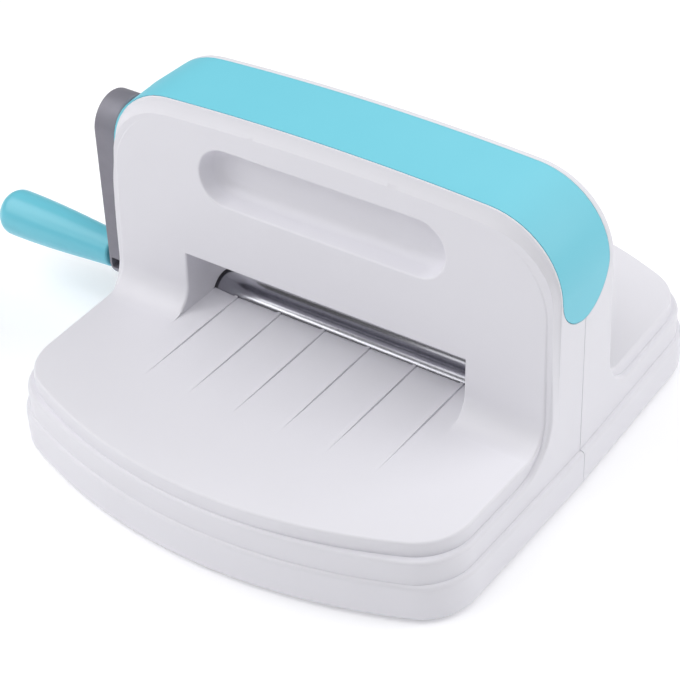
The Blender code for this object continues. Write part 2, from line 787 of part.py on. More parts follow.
def make_cover(root):
    """Top cover: a saddle over the tower with a round tongue down each side"""
    cover = arch_solid("top_cover", 0.0, root)
    cover.hide_render = False
    cover.display_type = "TEXTURED"
    silhouette = flat("cover_silhouette", [tongue_outline(0.0)], -SKIRT_HALF_WIDTH, SKIRT_HALF_WIDTH, "YZ")
    boolean(cover, tool(silhouette, root), "INTERSECT")
    boolean(cover, arch_solid("cover_underside", COVER_THICKNESS, root), "DIFFERENCE")
    reach = (SIDE_HALF_WIDTH - WALL, SIDE_HALF_WIDTH + OVERRUN)
    hole = rod("cover_shaft_hole", SHAFT_HOLE_RADIUS, -reach[1], -reach[0], (0.0, CRANK_LEVEL), "X", root)
    boolean(cover, hole, "DIFFERENCE")
    return keep(cover, root, TEAL)


def cover_seat(name, root):
    """The shallow recess in the housings that the cover lies in"""
    seat = arch_solid(name, -OVERRUN, root)
    outline = tongue_outline(TOUCH_GAP)
    reach = SIDE_HALF_WIDTH + 2 * OVERRUN
    silhouette = tool(flat(name + "_silhouette", [outline], -reach, reach, "YZ"), root)
    boolean(seat, silhouette, "INTERSECT")
    boolean(seat, arch_solid(name + "_floor", COVER_THICKNESS + TOUCH_GAP, root), "DIFFERENCE")
    return seat


def housing_space(name, length, face, side, root):
    """The hollow inside a housing, less the walls of slot and recess, the bosses and the stiffeners"""
    inner_side = shrink(side_body(length, face), WALL, -OVERRUN, 2 * OVERRUN)
    space = body_layer(name, inner_side, side, root)
    inner_core = shrink(core_body(length, face), WALL, -OVERRUN / 2, OVERRUN + OVERRUN / 2)
    boolean(space, body_layer(name + "_deck", inner_core, side, root), "UNION")
    low_y, high_y = ordered_pair(-side * 2 * OVERRUN, side * (face + CORE_FILLET + WALL))
    tunnel_low = (-TUNNEL_HALF - WALL, low_y, DECK_HEIGHT - WALL - OVERRUN)
    tunnel_high = (TUNNEL_HALF + WALL, high_y, SLOT_TOP + WALL)
    tunnel = block(name + "_tunnel", tunnel_low, tunnel_high, root)
    boolean(tunnel, tunnel_hollow(name + "_tunnel_hollow", face, side, root), "DIFFERENCE")
    boolean(space, tunnel, "DIFFERENCE")
    boolean(space, grip_walls(name + "_grip", face, side, root), "DIFFERENCE")
    for index, across in enumerate((-BOSS_X, BOSS_X)):
        centre = (across, side * (length - BOSS_SETBACK))
        top = DECK_HEIGHT - WALL / 2
        boss = rod(f"{name}_boss_{index}", BOSS_RADIUS, FRAME_LOW, top, centre, "Z", root)
        boolean(space, boss, "DIFFERENCE")
    for index in range(STIFFENER_COUNT):
        middle = (index - (STIFFENER_COUNT - 1) / 2) * STIFFENER_PITCH
        near, far = ordered_pair(side * (length - OVERRUN), side * (length - STIFFENER_LENGTH))
        low = (middle - STIFFENER_THICKNESS / 2, near, STIFFENER_LOW)
        high = (middle + STIFFENER_THICKNESS / 2, far, DECK_HEIGHT - WALL / 2)
        boolean(space, block(f"{name}_stiffener_{index}", low, high, root), "DIFFERENCE")
    return space


def tunnel_hollow(name, face, side, root):
    """What is taken from the tunnel's block so that only its floor, walls and roof end stay"""
    near, far = ordered_pair(-side * 3 * OVERRUN, side * (face - ROOF_LENGTH))
    low = (-TUNNEL_HALF, near, (DECK_HEIGHT + SLOT_TOP) / 2)
    high = (TUNNEL_HALF, far, SLOT_TOP + WALL + OVERRUN)
    return block(name, low, high, root)


def make_housing(name, side, length, face, root):
    """One half of the moulded casing, open below and at the seam"""
    skirt = skirt_layer(
        name, SKIRT_HALF_WIDTH, length, SKIRT_BOW, BASE_CORNER, 0.0, SKIRT_HEIGHT, side, root
    )
    skirt.hide_render = False
    skirt.display_type = "TEXTURED"
    bevel(skirt, SKIRT_ROUND, 2)
    outer = body_layer(name + "_side_layer", side_body(length, face), side, root)
    bevel(outer, SIDE_ROUND, 2)
    boolean(skirt, outer, "UNION")
    core = body_layer(name + "_core_layer", core_body(length, face), side, root)
    bevel(core, CORE_ROUND, 2)
    boolean(skirt, core, "UNION")
    boolean(skirt, housing_space(name + "_space", length, face, side, root), "DIFFERENCE")
    boolean(skirt, slot_space(name + "_slot", side, root), "DIFFERENCE")
    for index in range(RIB_COUNT - 1):
        boolean(skirt, channel_space(f"{name}_channel_{index}", index, side, root), "DIFFERENCE")
    boolean(skirt, grip_space(name + "_grip_space", face, side, root), "DIFFERENCE")
    reach = TUNNEL_HALF + WALL + PLATE_SPACE / 2
    for label, level in (("lower", LOWER_LEVEL), ("upper", UPPER_LEVEL)):
        radius = ROLLER_RADIUS + ROLLER_CLEARANCE
        guide = f"{name}_{label}_roller_way"
        way = rod(guide, radius, -reach, reach, (0.0, level), "X", root, LARGE_ROUND_STEPS)
        boolean(skirt, way, "DIFFERENCE")
    boolean(skirt, cover_seat(name + "_cover_seat", root), "DIFFERENCE")
    inner = SIDE_HALF_WIDTH - WALL - OVERRUN
    outer_x = SIDE_HALF_WIDTH + OVERRUN
    hole = rod(name + "_shaft_hole", SHAFT_HOLE_RADIUS, -outer_x, -inner, (0.0, CRANK_LEVEL), "X", root)
    boolean(skirt, hole, "DIFFERENCE")
    for index, across in enumerate((-BOSS_X, BOSS_X)):
        centre = (across, side * (length - BOSS_SETBACK))
        top = FRAME_LOW + PILOT_DEPTH
        bore = SCREW_RADIUS + BORE_PLAY
        pilot = rod(f"{name}_pilot_{index}", bore, -OVERRUN, top, centre, "Z", root, SMALL_ROUND_STEPS)
        boolean(skirt, pilot, "DIFFERENCE")
    near, far = ordered_pair(-side * 4 * OVERRUN, side * SEAM_GAP / 2)
    low = (-SKIRT_HALF_WIDTH - OVERRUN, near, -2 * OVERRUN)
    high = (SKIRT_HALF_WIDTH + OVERRUN, far, TOWER_HEIGHT + 2 * OVERRUN)
    boolean(skirt, block(name + "_seam", low, high, root), "DIFFERENCE")
    return keep(skirt, root, WHITE)


def base_outline():
    """Outline of the base plate inside both skirts, in X and Y"""
    inset = SKIRT_HALF_WIDTH - SIDE_HALF_WIDTH + WALL + BASE_PLATE_PLAY
    half_width = SKIRT_HALF_WIDTH - inset
    corner = BASE_CORNER - inset
    bow_radius = SKIRT_BOW - inset
    stations = both_sides(bow_stations(bow_points(half_width, FRONT_LENGTH, bow_radius, corner)))
    outline = []
    for side, length in ((FRONT, FRONT_LENGTH), (REAR, REAR_LENGTH)):
        plan = bow_points(half_width, length - inset, bow_radius, corner)
        for across in stations:
            along = height_at(plan, across)
            outline.append((drafted(across, along, DECK_HEIGHT, half_width, 0.0), side * along))
        stations = stations[::-1]
    outline.insert(len(stations), (half_width, 0.0))
    outline.append((-half_width, 0.0))
    return outline


def frame_screw_places():
    across = PLATE_INNER - FLANGE_LENGTH / 2
    return [(x, y) for x in (-across, across) for y in (-FRAME_SCREW_Y, FRAME_SCREW_Y)]


def base_screw_places():
    rows = (BOSS_SETBACK - FRONT_LENGTH, REAR_LENGTH - BOSS_SETBACK)
    return [(x, y) for x in (-BOSS_X, BOSS_X) for y in rows]


def foot_places():
    rows = (FOOT_SETBACK - FRONT_LENGTH, REAR_LENGTH - FOOT_SETBACK)
    return [(x, y) for x in (-FOOT_X, FOOT_X) for y in rows]


def make_base_plate(root):
    loops = [base_outline()]
    for place in frame_screw_places() + base_screw_places():
        loops.append(circle(place, SCREW_RADIUS + BORE_PLAY, SMALL_ROUND_STEPS))
    for place in foot_places():
        loops.append(circle(place, FOOT_PEG_RADIUS + BORE_PLAY, FOOT_STEPS))
    return keep(flat("base_plate", loops, BASE_PLATE_LOW, BASE_PLATE_TOP, "XY"), root, PLATE_STEEL)


def make_feet(root):
    top = BASE_PLATE_LOW - TOUCH_GAP
    low = -FOOT_DROP
    profile = [
        (0.0, BASE_PLATE_TOP + FOOT_PEG_END),
        (FOOT_PEG_RADIUS, BASE_PLATE_TOP + FOOT_PEG_END),
        (FOOT_PEG_RADIUS, top),
        (FOOT_RADIUS, top),
        (FOOT_RADIUS, low + FOOT_DROP / 3),
        (FOOT_RADIUS - FOOT_DROP / 3, low),
        (0.0, low),
    ]
    for number, (across, along) in enumerate(foot_places(), start=1):
        foot = turned(f"foot_{number}", profile, "Z", (across, along, 0.0), FOOT_STEPS)
        keep(foot, root, RUBBER)


def make_screw(name, place, length, root):
    """A pan head screw that enters the base plate from below"""
    seat = BASE_PLATE_LOW - TOUCH_GAP
    profile = [
        (0.0, seat + length),
        (SCREW_RADIUS, seat + length),
        (SCREW_RADIUS, seat),
        (SCREW_HEAD_RADIUS, seat),
        (SCREW_HEAD_RADIUS, seat - SCREW_HEAD_HEIGHT / 2),
        (SCREW_RADIUS, seat - SCREW_HEAD_HEIGHT),
        (0.0, seat - SCREW_HEAD_HEIGHT),
    ]
    screw = turned(name, profile, "Z", (place[0], place[1], 0.0), SMALL_ROUND_STEPS)
    return keep(screw, root, PLATE_STEEL)


def plate_outline():
    half = [
        (PLATE_FOOT_HALF, FRAME_LOW + PLATE_THICKNESS / 2),
        (PLATE_FOOT_HALF, PLATE_FOOT_HEIGHT),
        (PLATE_WAIST_HALF, PLATE_WAIST_LEVEL),
        (PLATE_TOP_HALF, PLATE_TOP - PLATE_ROUND),
        (PLATE_TOP_HALF - PLATE_ROUND, PLATE_TOP),
    ]
    return mirrored(half)


def axle_bores(radius):
    """Outlines of the frame's bores for the bushes, round their axles"""
    return [circle((0.0, level), radius, ROUND_STEPS) for level in (LOWER_LEVEL, UPPER_LEVEL, CRANK_LEVEL)]


def tie_places():
    return [
        (-LOW_TIE_SPREAD, LOW_TIE_LEVEL),
        (LOW_TIE_SPREAD, LOW_TIE_LEVEL),
        (0.0, MIDDLE_TIE_LEVEL),
        (0.0, TOP_TIE_LEVEL),
    ]


def spacer_places():
    places = []
    for sign in (-1, 1):
        places.append((sign * SPACER_LOW_SPREAD, SPACER_LOW_LEVEL))
        places.append((sign * SPACER_HIGH_SPREAD, SPACER_HIGH_LEVEL))
    return places


def spigot_bores():
    return [circle(place, SPACER_SPIGOT_RADIUS + BORE_PLAY, SMALL_ROUND_STEPS) for place in spacer_places()]


def make_side_plate(name, sign, root):
    """A steel side plate with a foot flange turned inwards"""
    loops = [plate_outline()]
    for place in tie_places():
        loops.append(circle(place, TIE_SPIGOT_RADIUS + BORE_PLAY, SMALL_ROUND_STEPS))
    bush_radius = BUSH_RADIUS + BORE_PLAY
    loops += axle_bores(bush_radius) if sign < 0 else axle_bores(bush_radius)[:2]
    if sign < 0:
        loops.append(circle((0.0, IDLER_LEVEL), IDLER_AXLE_RADIUS + BORE_PLAY, ROUND_STEPS))
        loops += spigot_bores()
    near, far = ordered_pair(sign * PLATE_INNER, sign * PLATE_OUTER)
    plate = keep(flat(name, loops, near, far, "YZ"), root, PLATE_STEEL)
    bend = PLATE_INNER + PLATE_THICKNESS / 2
    low_x, high_x = ordered_pair(sign * (PLATE_INNER - FLANGE_LENGTH), sign * bend)
    low = (low_x, -PLATE_FOOT_HALF + PLATE_THICKNESS, FRAME_LOW)
    high = (high_x, PLATE_FOOT_HALF - PLATE_THICKNESS, FRAME_LOW + PLATE_THICKNESS)
    boolean(plate, block(name + "_flange", low, high, root), "UNION")
    for index, place in enumerate(frame_screw_places()):
        if place[0] * sign > 0:
            top = FRAME_LOW + PLATE_THICKNESS + OVERRUN
            radius = SCREW_RADIUS + BORE_PLAY
            guide = f"{name}_screw_hole_{index}"
            hole = rod(guide, radius, FRAME_LOW - OVERRUN, top, place, "Z", root, SMALL_ROUND_STEPS)
            boolean(plate, hole, "DIFFERENCE")
    return plate


def make_ties(root):
    shoulder = PLATE_INNER - TOUCH_GAP
    end = PLATE_OUTER + TIE_SPIGOT_END - GEAR_SIDE_PLAY / 2
    profile = [
        (0.0, end),
        (TIE_SPIGOT_RADIUS, end),
        (TIE_SPIGOT_RADIUS, shoulder),
        (TIE_RADIUS, shoulder),
        (TIE_RADIUS, -shoulder),
        (TIE_SPIGOT_RADIUS, -shoulder),
        (TIE_SPIGOT_RADIUS, -end),
        (0.0, -end),
    ]
    for number, (along, level) in enumerate(tie_places(), start=1):
        tie = turned(f"tie_rod_{number}", profile, "X", (0.0, along, level), SMALL_ROUND_STEPS)
        keep(tie, root, PLATE_STEEL)


def make_bush(name, flange_x, heading, level, root):
    """A flanged bush: its flange starts at flange_x and its sleeve runs on along X by heading"""
    bore = JOURNAL_RADIUS + BORE_PLAY
    face = BUSH_FLANGE_THICKNESS
    length = BUSH_FLANGE_THICKNESS + TOUCH_GAP + PLATE_THICKNESS
    profile = [(bore, 0.0), (BUSH_RADIUS + BUSH_FLANGE, 0.0), (BUSH_RADIUS + BUSH_FLANGE, -face)]
    profile += [(BUSH_RADIUS, -face), (BUSH_RADIUS, -length), (bore, -length)]
    bush = turned(name, profile, "X", (flange_x, 0.0, level))
    bush.rotation_euler = (0.0, -heading * math.pi / 2, 0.0)
    return keep(bush, root, BRONZE)


def make_roller(name, pivot, left_end):
    """A roller with its journals, turned round the pivot's X axis"""
    right_end = PLATE_OUTER + JOURNAL_END
    profile = [
        (0.0, right_end),
        (JOURNAL_RADIUS, right_end),
        (JOURNAL_RADIUS, ROLLER_HALF),
        (ROLLER_RADIUS - ROLLER_CHAMFER, ROLLER_HALF),
        (ROLLER_RADIUS, ROLLER_HALF - ROLLER_CHAMFER),
        (ROLLER_RADIUS, ROLLER_CHAMFER - ROLLER_HALF),
        (ROLLER_RADIUS - ROLLER_CHAMFER, -ROLLER_HALF),
        (JOURNAL_RADIUS, -ROLLER_HALF),
        (JOURNAL_RADIUS, -left_end),
        (0.0, -left_end),
    ]
    return keep(turned(name, profile, "X", (0.0, 0.0, 0.0)), pivot, STEEL)


def make_ring(name, bore, radius, near, far, pivot, finish):
    """A plain ring between two places on the pivot's X axis"""
    profile = [(bore, far), (radius, far), (radius, near), (bore, near)]
    return keep(turned(name, profile, "X", (0.0, 0.0, 0.0)), pivot, finish)


def involute(radius, base_radius):
    """Angle that an involute has turned at a radius"""
    pressure = math.acos(min(base_radius / radius, 1.0))
    return math.tan(pressure) - pressure


def gear_outline(teeth, module, first_tooth):
    """Outline of a spur gear, in Y and Z, with a tooth centred at the angle first_tooth"""
    pitch = module * teeth / 2
    base = pitch * math.cos(PRESSURE_ANGLE)
    root = pitch - DEDENDUM_SHARE * module
    tip = pitch + ADDENDUM_SHARE * module
    half_tooth = math.pi / (2 * teeth) - BACKLASH / (4 * pitch) + involute(pitch, base)
    flank = []
    for radius in (root, tip):
        flank.append((radius, half_tooth - involute(max(radius, base), base)))
    outline = []
    for tooth in range(teeth):
        centre = first_tooth + 2 * math.pi * tooth / teeth
        sides = [(radius, -angle) for radius, angle in flank] + flank[::-1]
        for radius, angle in sides:
            outline.append((radius * math.cos(centre + angle), radius * math.sin(centre + angle)))
    return outline


def pair_module(distance, first_teeth, second_teeth):
    """Module of two gears that mesh at a distance between their axes"""
    return 2 * distance / (first_teeth + second_teeth)


def make_gear(name, outline, bore, near, far, pivot):
    loops = [outline, circle((0.0, 0.0), bore, ROUND_STEPS)]
    return keep(flat(name, loops, -far, -near, "YZ"), pivot, GEAR_STEEL)


def make_idler(pivot):
    """The compound idler: a wheel driven by the crank's pinion, and a pinion that drives the roller"""
    wheel_module = pair_module(CRANK_LEVEL - IDLER_LEVEL, CRANK_PINION_TEETH, IDLER_WHEEL_TEETH)
    gap_up = math.pi / 2 + math.pi / IDLER_WHEEL_TEETH
    wheel_outline = gear_outline(IDLER_WHEEL_TEETH, wheel_module, gap_up)
    wheel = flat("idler_gear", [wheel_outline], -WHEEL_X - WHEEL_WIDTH, -WHEEL_X, "YZ")
    pinion_module = pair_module(IDLER_LEVEL - UPPER_LEVEL, IDLER_PINION_TEETH, DRIVE_GEAR_TEETH)
    pinion_outline = gear_outline(IDLER_PINION_TEETH, pinion_module, -math.pi / 2)
    near = DRIVE_GEAR_X - GEAR_SIDE_PLAY / 2
    pinion = flat("idler_pinion", [pinion_outline], -WHEEL_X - WHEEL_WIDTH / 2, -near, "YZ")
    wheel = keep(wheel, pivot, GEAR_STEEL)
    boolean(wheel, tool(pinion, pivot), "UNION")
    reach = (-WHEEL_X - WHEEL_WIDTH - OVERRUN, -near + OVERRUN)
    bore = rod("idler_bore", IDLER_AXLE_RADIUS + BORE_PLAY, reach[0], reach[1], (0.0, 0.0), "X", pivot)
    return boolean(wheel, bore, "DIFFERENCE")


def make_outer_plate(root):
    """The plate that carries the outer ends of the crank's shaft and the idler's axle"""
    half = [
        (OUTER_PLATE_LOW_HALF - PLATE_ROUND, OUTER_PLATE_LOW),
        (OUTER_PLATE_LOW_HALF, OUTER_PLATE_LOW + PLATE_ROUND),
        (OUTER_PLATE_TOP_HALF, OUTER_PLATE_TOP - PLATE_ROUND),
        (OUTER_PLATE_TOP_HALF - PLATE_ROUND, OUTER_PLATE_TOP),
    ]
    loops = [mirrored(half), circle((0.0, CRANK_LEVEL), BUSH_RADIUS + BORE_PLAY, ROUND_STEPS)]
    loops.append(circle((0.0, IDLER_LEVEL), IDLER_AXLE_RADIUS + BORE_PLAY, ROUND_STEPS))
    loops += spigot_bores()
    near = -OUTER_PLATE_X - PLATE_THICKNESS
    return keep(flat("gear_plate", loops, near, -OUTER_PLATE_X, "YZ"), root, PLATE_STEEL)


def make_spacers(root):
    inner = -PLATE_OUTER - TOUCH_GAP
    outer = -OUTER_PLATE_X + TOUCH_GAP
    inner_end = -PLATE_INNER - PLATE_THICKNESS / 3
    outer_end = -OUTER_PLATE_X - PLATE_THICKNESS
    profile = [
        (0.0, inner_end),
        (SPACER_SPIGOT_RADIUS, inner_end),
        (SPACER_SPIGOT_RADIUS, inner),
        (SPACER_RADIUS, inner),
        (SPACER_RADIUS, outer),
        (SPACER_SPIGOT_RADIUS, outer),
        (SPACER_SPIGOT_RADIUS, outer_end),
        (0.0, outer_end),
    ]
    for number, (along, level) in enumerate(spacer_places(), start=1):
        spacer = turned(f"gear_spacer_{number}", profile, "X", (0.0, along, level), SMALL_ROUND_STEPS)
        keep(spacer, root, PLATE_STEEL)


def make_idler_axle(root):
    inner = -PLATE_INNER - AXLE_END
    outer = -OUTER_PLATE_X - PLATE_THICKNESS - AXLE_END
    profile = [(0.0, inner), (IDLER_AXLE_RADIUS, inner), (IDLER_AXLE_RADIUS, outer), (0.0, outer)]
    keep(turned("idler_axle", profile, "X", (0.0, 0.0, IDLER_LEVEL)), root, STEEL)


def make_idler_sleeve(root):
    near = -(DRIVE_GEAR_X - GEAR_SIDE_PLAY / 2 - TOUCH_GAP)
    far = -(PLATE_OUTER + TOUCH_GAP)
    bore = IDLER_AXLE_RADIUS + BORE_PLAY
    profile = [(bore, far), (bore + SLEEVE_WALL, far), (bore + SLEEVE_WALL, near), (bore, near)]
    keep(turned("idler_sleeve", profile, "X", (0.0, 0.0, IDLER_LEVEL)), root, DARK_PLASTIC)


def make_crank_shaft(pivot):
    """The shaft, with a threaded hole in its outer end for the crank's screw"""
    inner = -(FLANGE_FACE - 2 * TOUCH_GAP - CLIP_THICKNESS - GEAR_SIDE_PLAY)
    outer = -(ARM_OUTER - SCREW_WELL_DEPTH - TOUCH_GAP)
    hole = CRANK_SCREW_RADIUS + BORE_PLAY
    bottom = outer + CRANK_SCREW_LENGTH + TOUCH_GAP
    profile = [
        (0.0, inner),
        (SHAFT_RADIUS, inner),
        (SHAFT_RADIUS, outer),
        (hole, outer),
        (hole, bottom),
        (0.0, bottom),
    ]
    keep(turned("crank_shaft", profile, "X", (0.0, 0.0, 0.0)), pivot, STEEL)


def make_crank_screw(pivot):
    seat = -(ARM_OUTER - SCREW_WELL_DEPTH + TOUCH_GAP)
    top = seat - CRANK_SCREW_HEAD_HEIGHT
    profile = [
        (0.0, seat + CRANK_SCREW_LENGTH),
        (CRANK_SCREW_RADIUS, seat + CRANK_SCREW_LENGTH),
        (CRANK_SCREW_RADIUS, seat),
        (CRANK_SCREW_HEAD_RADIUS, seat),
        (CRANK_SCREW_HEAD_RADIUS, top + ROLLER_CHAMFER),
        (CRANK_SCREW_HEAD_RADIUS - ROLLER_CHAMFER, top),
        (0.0, top),
    ]
    keep(turned("crank_screw", profile, "X", (0.0, 0.0, 0.0)), pivot, PLATE_STEEL)


def arm_outline():
    """Side view of the crank's arm round the crank's axis: two unlike circles and their tangents"""
    reach = math.hypot(ARM_LEAN, ARM_DROP)
    heading = math.atan2(-ARM_DROP, -ARM_LEAN)
    spread = math.acos((HUB_RADIUS - ARM_END_RADIUS) / reach)
    hub = arc((0.0, 0.0), HUB_RADIUS, heading + spread, heading + 2 * math.pi - spread, 2 * ARC_STEPS)
    end = arc((-ARM_LEAN, -ARM_DROP), ARM_END_RADIUS, heading - spread, heading + spread, 2 * ARC_STEPS)
    return hub + end


def make_crank_arm(pivot):
    arm = flat("crank_arm", [arm_outline()], -ARM_OUTER, -ARM_INNER, "YZ")
    bevel(arm, ARM_ROUND, 2)
    arm = keep(arm, pivot, GREY)
    bore = SHAFT_RADIUS + BORE_PLAY
    hub_bore = rod("arm_hub_bore", bore, -ARM_OUTER - OVERRUN, -ARM_INNER + OVERRUN, (0.0, 0.0), "X", pivot)
    boolean(arm, hub_bore, "DIFFERENCE")
    well_radius = CRANK_SCREW_HEAD_RADIUS + TOUCH_GAP
    well_floor = -ARM_OUTER + SCREW_WELL_DEPTH
    well = rod("arm_screw_well", well_radius, -ARM_OUTER - OVERRUN, well_floor, (0.0, 0.0), "X", pivot)
    boolean(arm, well, "DIFFERENCE")
    centre = (-ARM_LEAN, -ARM_DROP)
    radius = KNOB_AXLE_RADIUS + BORE_PLAY
    axle_bore = rod("arm_axle_bore", radius, -ARM_OUTER - OVERRUN, -ARM_INNER + OVERRUN, centre, "X", pivot)
    boolean(arm, axle_bore, "DIFFERENCE")
    middle = -(ARM_INNER + ARM_OUTER) / 2
    front = -ARM_LEAN - ARM_END_RADIUS - OVERRUN
    low = (middle - WINDOW_WIDTH / 2, front, -ARM_DROP - WINDOW_HEIGHT / 2)
    high = (middle + WINDOW_WIDTH / 2, -ARM_LEAN + WINDOW_REACH, -ARM_DROP + WINDOW_HEIGHT / 2)
    boolean(arm, block("arm_window", low, high, pivot), "DIFFERENCE")


def make_knob_axle(pivot):
    inner = -(ARM_INNER + KNOB_AXLE_SETBACK)
    outer = -(KNOB_END - KNOB_BORE_END)
    profile = [(0.0, inner), (KNOB_AXLE_RADIUS, inner), (KNOB_AXLE_RADIUS, outer), (0.0, outer)]
    keep(turned("knob_axle", profile, "X", (0.0, -ARM_LEAN, -ARM_DROP)), pivot, STEEL)


def make_knob_washer(pivot):
    near = -(KNOB_X - TOUCH_GAP)
    far = -(ARM_OUTER + TOUCH_GAP)
    bore = KNOB_AXLE_RADIUS + BORE_PLAY
    profile = [(bore, far), (KNOB_WASHER_RADIUS, far), (KNOB_WASHER_RADIUS, near), (bore, near)]
    keep(turned("knob_washer", profile, "X", (0.0, -ARM_LEAN, -ARM_DROP)), pivot, DARK_PLASTIC)


def make_knob(pivot):
    """The knob: a swelling grip with a domed end and a blind bore, from its root towards -X"""
    bore = KNOB_AXLE_RADIUS + BORE_PLAY
    bore_floor = -(KNOB_END - KNOB_BORE_END + TOUCH_GAP)
    swell = -(KNOB_X + KNOB_BULGE_LENGTH)
    profile = [
        (0.0, bore_floor),
        (bore, bore_floor),
        (bore, -KNOB_X),
        (KNOB_ROOT_RADIUS - KNOB_ROOT_ROUND, -KNOB_X),
        (KNOB_ROOT_RADIUS, -KNOB_X - KNOB_ROOT_ROUND),
    ]
    for step in range(ARC_STEPS + 1):
        angle = math.pi / 2 * step / ARC_STEPS
        radius = KNOB_BULGE_RADIUS * math.cos(angle)
        profile.append((radius, swell - KNOB_DOME * math.sin(angle)))
    profile[-1] = (0.0, -KNOB_END)
    keep(turned("crank_knob", profile, "X", (0.0, 0.0, 0.0), LARGE_ROUND_STEPS), pivot, TEAL)


def make_frame(root):
    """Steel frame, bushes and the fixed pieces of the gear train"""
    make_side_plate("side_plate_left", -1, root)
    make_side_plate("side_plate_right", 1, root)
    make_ties(root)
    for label, sign in (("left", -1), ("right", 1)):
        make_bush(f"lower_bush_{label}", sign * FLANGE_FACE, sign, LOWER_LEVEL, root)
        make_bush(f"upper_bush_{label}", sign * FLANGE_FACE, sign, UPPER_LEVEL, root)
    make_bush("crank_bush_inner", -FLANGE_FACE, -1, CRANK_LEVEL, root)
    outer_flange = OUTER_PLATE_X + PLATE_THICKNESS + TOUCH_GAP + BUSH_FLANGE_THICKNESS
    make_bush("crank_bush_outer", -outer_flange, 1, CRANK_LEVEL, root)
    make_outer_plate(root)
    make_spacers(root)
    make_idler_axle(root)
    make_idler_sleeve(root)


def make_rollers(root):
    """Both rollers with their gears and clips"""
    lower = add_empty("lower_roller_pivot", (0.0, 0.0, LOWER_LEVEL), root)
    upper = add_empty("upper_roller_pivot", (0.0, 0.0, UPPER_LEVEL), root)
    roller_module = pair_module(UPPER_LEVEL - LOWER_LEVEL, ROLLER_GEAR_TEETH, ROLLER_GEAR_TEETH)
    bore = JOURNAL_RADIUS + BORE_PLAY
    gear_end = ROLLER_GEAR_X + ROLLER_GEAR_WIDTH
    make_roller("lower_roller", lower, gear_end + GEAR_SIDE_PLAY)
    make_roller("upper_roller", upper, DRIVE_GEAR_X + DRIVE_GEAR_WIDTH + GEAR_SIDE_PLAY / 2)
    gap_up = math.pi / 2 + math.pi / ROLLER_GEAR_TEETH
    lower_outline = gear_outline(ROLLER_GEAR_TEETH, roller_module, gap_up)
    upper_outline = gear_outline(ROLLER_GEAR_TEETH, roller_module, -math.pi / 2)
    make_gear("lower_roller_gear", lower_outline, bore, ROLLER_GEAR_X, gear_end, lower)
    make_gear("upper_roller_gear", upper_outline, bore, ROLLER_GEAR_X, gear_end, upper)
    drive_module = pair_module(IDLER_LEVEL - UPPER_LEVEL, IDLER_PINION_TEETH, DRIVE_GEAR_TEETH)
    drive_outline = gear_outline(DRIVE_GEAR_TEETH, drive_module, math.pi / 2 + math.pi / DRIVE_GEAR_TEETH)
    drive_end = DRIVE_GEAR_X + DRIVE_GEAR_WIDTH
    make_gear("drive_gear", drive_outline, bore, DRIVE_GEAR_X, drive_end, upper)
    near = PLATE_OUTER + GEAR_SIDE_PLAY
    make_ring("lower_roller_clip", bore, CLIP_RADIUS, near, near + CLIP_THICKNESS, lower, GEAR_STEEL)
    make_ring("upper_roller_clip", bore, CLIP_RADIUS, near, near + CLIP_THICKNESS, upper, GEAR_STEEL)


def make_crank(root):
    """Everything that turns with the crank"""
    crank = add_empty("crank_pivot", (0.0, 0.0, CRANK_LEVEL), root)
    make_crank_shaft(crank)
    module = pair_module(CRANK_LEVEL - IDLER_LEVEL, CRANK_PINION_TEETH, IDLER_WHEEL_TEETH)
    outline = gear_outline(CRANK_PINION_TEETH, module, -math.pi / 2)
    bore = SHAFT_RADIUS + BORE_PLAY
    make_gear("crank_pinion", outline, bore, WHEEL_X, WHEEL_X + WHEEL_WIDTH, crank)
    clip_near = -(FLANGE_FACE - TOUCH_GAP - CLIP_THICKNESS)
    make_ring("crank_clip", bore, CLIP_RADIUS, clip_near - CLIP_THICKNESS, clip_near, crank, GEAR_STEEL)
    collar_near = -(ARM_INNER - TOUCH_GAP)
    collar_far = -(SIDE_HALF_WIDTH + TOUCH_GAP)
    make_ring("crank_collar", bore, COLLAR_RADIUS, collar_near, collar_far, crank, DARK_PLASTIC)
    make_crank_arm(crank)
    make_crank_screw(crank)
    make_knob_axle(crank)
    make_knob_washer(crank)
    knob = add_empty("knob_pivot", (0.0, -ARM_LEAN, -ARM_DROP), crank)
    make_knob(knob)


def make_base(root):
    """Base plate, feet and the screws from below"""
    make_base_plate(root)
    make_feet(root)
    for number, place in enumerate(base_screw_places(), start=1):
        make_screw(f"base_screw_{number}", place, SCREW_LENGTH, root)
    for number, place in enumerate(frame_screw_places(), start=1):
        make_screw(f"frame_screw_{number}", place, FRAME_SCREW_LENGTH, root)


def main():
    clear_scene()
    new_collection("die_cutting_machine")
    new_collection("cutters")
    root = add_empty("machine", (PLACE_X, PLACE_Y, FOOT_DROP), None)
    make_base(root)
    make_frame(root)
    make_rollers(root)
    idler = add_empty("idler_pivot", (0.0, 0.0, IDLER_LEVEL), root)
    make_idler(idler)
    make_crank(root)
    make_housing("front_housing", FRONT, FRONT_LENGTH, FRONT_FACE, root)
    make_housing("rear_housing", REAR, REAR_LENGTH, REAR_FACE, root)
    make_cover(root)


main()
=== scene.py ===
"""Looks of a hand cranked die cutting machine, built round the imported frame.

Sizes are in metres. Meshes are made round the machine's own middle: X across the feed slot, Y along
the feed from the seam between the two housings, Z up from the rim of the housings. Each finished
piece is then moved by ORIGIN into the frame of the CAD model.
"""

import json
import logging
import math
from collections.abc import Callable, Sequence
from dataclasses import dataclass, replace
from enum import Enum
from typing import Any

import bmesh
import bpy
from mathutils import Matrix, Vector

